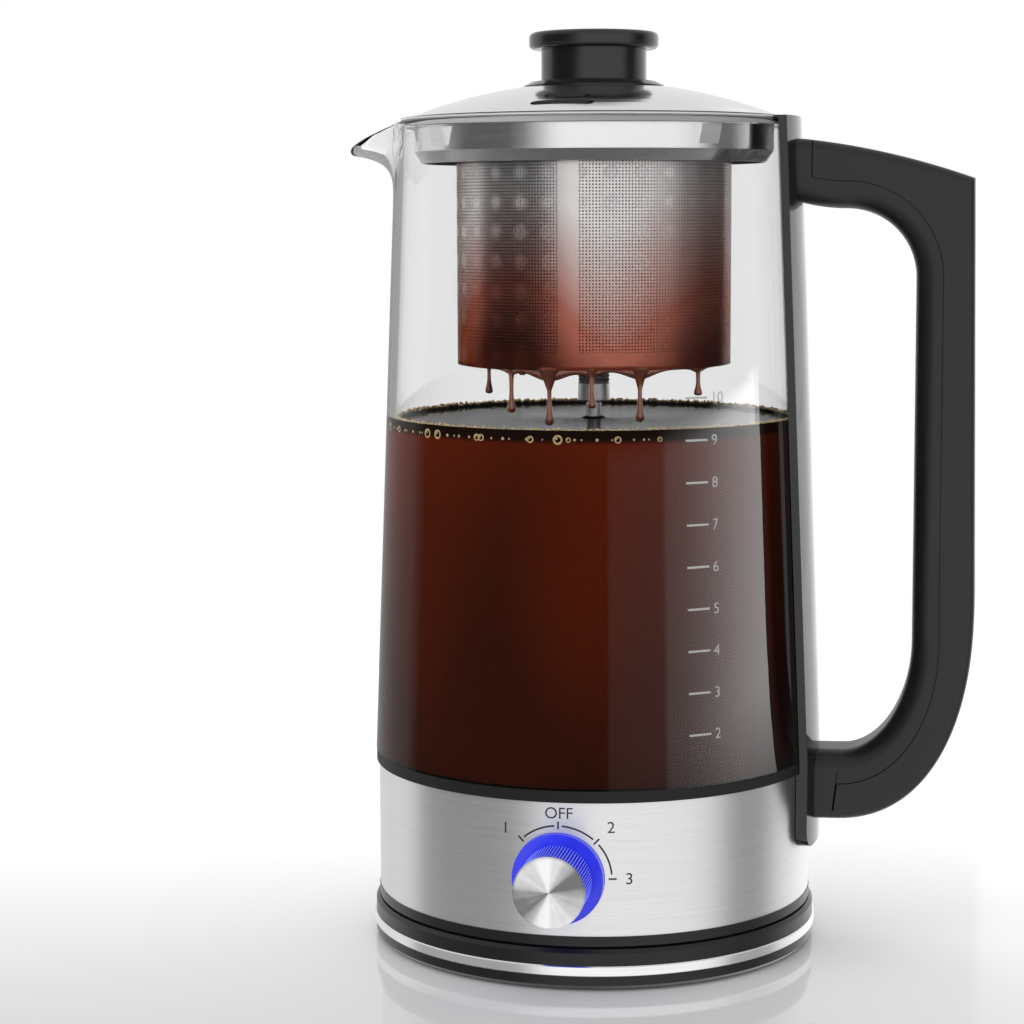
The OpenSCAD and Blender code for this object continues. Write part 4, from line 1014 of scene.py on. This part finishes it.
def make_cup_scale():
    """Cup marks on the glass, from two cups up to ten."""
    first, last = 2, 10
    first_z = 72.1 * MM
    step = 11.82 * MM
    tick, line = 7 * MM, 0.6 * MM
    figure, space = 3.0 * MM, 1.2 * MM
    put = on_glass(math.radians(33))
    parts = []
    for cup in range(first, last + 1):
        z = first_z + (cup - first) * step
        parts.append(stroke([(0.0, z), (tick / 2, z), (tick, z)], line, put))
        parts.append(words(str(cup), figure, tick + space, z - figure / 2, put))
    piece("cup_scale", *merged(parts), SCALE_INK, "kettle", "wire_grey")


def make_dial_scale():
    """Arcs, ticks and figures round the dial."""
    ring = 15 * MM
    line = 0.5 * MM
    figure = 3.2 * MM
    tick_in, tick_out = ring - 0.9 * MM, ring + 1.3 * MM
    arc_steps = 24
    parts = []

    def polar(angle, r):
        return r * math.sin(math.radians(angle)), r * math.cos(math.radians(angle))

    for start, stop in ((-41, -4), (4, 41), (49, 85)):
        arc = [polar(start + (stop - start) * k / arc_steps, ring) for k in range(arc_steps + 1)]
        parts.append(stroke(arc, line, on_band))
    for angle in (-45, 0, 45, 90):
        parts.append(stroke([polar(angle, tick_in), polar(angle, tick_out)], line, on_band))
    for text, u, v in (("OFF", -3.9, 17.1), ("1", -16.5, 12.0), ("2", 13.6, 13.2), ("3", 18.6, -1.6)):
        parts.append(words(text, figure, u * MM, v * MM, on_band))
    piece("dial_scale", *merged(parts), DIAL_INK, "kettle", "gloss_black")


# Stage

def make_floor():
    """A round of pale floor, painted grey towards the front as shade, whose edge is as white as the studio.
    Reflections look past it to the studio.
    """
    size, steps = 0.45, 96
    front, behind = -0.28, 0.14
    fade_from, fade_to = 0.2, 0.4
    grey, white = (0.28, 0.28, 0.285), (0.92, 0.92, 0.92)
    paint = Paint("floor_white", ior=1.45, rough=0.06)
    x, y, _ = paint.parts(paint.place())
    squares = paint.maths("ADD", paint.maths("MULTIPLY", x, x), paint.maths("MULTIPLY", y, y))
    away = paint.maths("SQRT", squares, 0.0)
    # Painted shade: grey towards the front, fading to white behind and towards the edge
    pale = paint.maths("MAXIMUM", paint.span(y, front, behind), paint.span(away, fade_from, fade_to))
    shade = paint.maths("ADD", pale, paint.uneven(paint.noise(2.0), -0.02, 0.02))
    paint.drive("colour", paint.between(shade, grey, white))
    turns = [2 * math.pi * k / steps for k in range(steps)]
    rim = [(size * math.cos(a), size * math.sin(a), 0) for a in turns]
    mesh = bpy.data.meshes.new("floor")
    mesh.from_pydata(rim, [], [tuple(range(steps))])
    mesh.materials.append(paint.material)
    made = bpy.data.objects.new("floor", mesh)
    made.visible_glossy = False
    bpy.context.scene.collection.objects.link(made)


def make_lamp(name, place, aim, width, height, power):
    """A soft lamp that lights without showing in reflections."""
    lamp = bpy.data.lights.new(name, "AREA")
    lamp.shape = "RECTANGLE"
    lamp.size = width
    lamp.size_y = height
    lamp.energy = power
    made = bpy.data.objects.new(name, lamp)
    made.location = place
    made.rotation_euler = (Vector(aim) - Vector(place)).to_track_quat("-Z", "Y").to_euler()
    made.visible_glossy = False
    bpy.context.scene.collection.objects.link(made)


# What steel and glass mirror, as (angle from the front towards the handle in degrees, brightness)
METAL_SIDES = [(-180, 0.72), (-125, 0.72), (-112, 0.8), (-100, 0.68), (-92, 0.25), (-80, 0.1), (-45, 0.1),
               (-35, 0.22), (-25, 0.55), (-17, 0.88), (-8, 1.0), (60, 0.96), (70, 0.88), (78, 0.72),
               (85, 0.35), (92, 0.14), (104, 0.14), (113, 0.45), (122, 0.76), (135, 0.92), (150, 1.05),
               (180, 1.1)]
METAL_POWER = 1.2
METAL_BELOW, METAL_ABOVE = 0.45, (0.82, 0.82, 0.82)
GLASS_SIDES = [(-180, 0.4), (-106, 0.35), (-95, 0.06), (120, 0.06), (128, 0.3), (180, 0.4)]
SOFTBOX = [(-180, 0.0), (16, 0.0), (17, 0.06), (46, 0.09), (47, 0.24), (58, 0.34), (68, 0.5), (78, 0.7),
           (90, 0.92), (104, 1.0), (118, 0.85), (121, 0.1), (123, 0.0), (180, 0.0)]
SOFTBOX_POWER = 4.2
# Upward share of a direction over which each part fades
BELOW_FADE, ABOVE_FADE = (-0.16, -0.06), (0.2, 0.5)
SOFTBOX_FOOT, SOFTBOX_TOP = (-0.2, -0.135), (-0.02, -0.01)
AMBIENT = (1.12, 1.12, 1.12)
WHITE = (1.0, 1.0, 1.0)
GLASS_FACES = 2.0


def make_world():
    """White studio, plain where seen directly. Metal mirrors light and dark sides, glass a low softbox."""
    world = bpy.data.worlds.new("studio")
    world.use_nodes = True
    world.cycles.sampling_method = "NONE"
    bpy.context.scene.world = world
    wires = Wires(world.node_tree)
    x, y, rise = wires.parts(wires.add("ShaderNodeTexCoord").outputs["Generated"])
    turn = wires.span(wires.maths("ARCTAN2", x, wires.maths("MULTIPLY", y, -1.0)), -math.pi, math.pi)

    def sides(stops):
        """Brightness that follows the direction round the upright axis."""
        return wires.greys(turn, [((angle + 180) / 360, grey) for angle, grey in stops])

    low = wires.maths("MAXIMUM", wires.maths("MULTIPLY", sides(METAL_SIDES), METAL_POWER),
                      wires.span(rise, *BELOW_FADE, METAL_BELOW, 0.0))
    metal = wires.between(wires.span(rise, *ABOVE_FADE), low, METAL_ABOVE)
    window = wires.maths("MULTIPLY", wires.span(rise, *SOFTBOX_FOOT),
                         wires.span(rise, *SOFTBOX_TOP, 1.0, 0.0))
    softbox = wires.maths("MULTIPLY", wires.maths("MULTIPLY", sides(SOFTBOX), window), SOFTBOX_POWER)
    glass = wires.maths("ADD", sides(GLASS_SIDES), softbox)

    # The outer face of the glass mirrors at once, the inner one after light went in and out through the outer
    path = wires.add("ShaderNodeLightPath").outputs
    outer = wires.maths("MULTIPLY", path["Is Singular Ray"], path["Is Reflection Ray"])
    inner = wires.maths("MULTIPLY", wires.maths("MINIMUM", path["Glossy Depth"], 1.0),
                        wires.maths("COMPARE", path["Transmission Depth"], GLASS_FACES))
    mirrored = wires.maths("MAXIMUM", outer, inner)
    scattered = wires.maths("MINIMUM", path["Diffuse Depth"], 1.0)
    bounced = wires.maths("MINIMUM", wires.maths("ADD", path["Diffuse Depth"], path["Glossy Depth"]), 1.0)
    seen = wires.between(mirrored, metal, glass)
    seen = wires.between(scattered, seen, AMBIENT)
    seen = wires.between(bounced, WHITE, seen)
    wires.join(seen, wires.tree.nodes["Background"].inputs["Color"])


def make_camera():
    """Camera fitted to the photograph."""
    turn, pitch, roll = math.radians(10.7), math.radians(6.76), math.radians(-0.218)
    left, back, height = 24.67 * MM, 755.2 * MM, 217.83 * MM
    data = bpy.data.cameras.new("camera")
    data.lens = 88.68
    data.sensor_width = 36
    data.clip_start = 0.05
    data.clip_end = 50
    made = bpy.data.objects.new("camera", data)
    right = Vector((math.cos(turn), math.sin(turn), 0))
    ahead = Vector((-math.sin(turn), math.cos(turn), 0))
    place = -left * right - back * ahead + Vector((0, 0, height))
    made.matrix_world = (Matrix.Translation(place) @ Matrix.Rotation(turn, 4, "Z")
                         @ Matrix.Rotation(math.pi / 2 - pitch, 4, "X") @ Matrix.Rotation(roll, 4, "Z"))
    bpy.context.scene.collection.objects.link(made)
    bpy.context.scene.camera = made


finish_nodes()
make_glass()
make_handle()
make_coffee()
make_foam()
make_basket()
make_drips()
make_cup_scale()
make_dial_scale()
make_floor()
make_world()
make_lamp("key", (-0.9, -0.9, 1.1), (0, 0, 0.12), 0.7, 0.9, 5.0)
make_lamp("top", (0.1, 0.3, 1.3), (0, 0, 0.15), 0.9, 0.9, 4.0)
make_camera()
bpy.context.scene.view_settings.view_transform = "Standard"
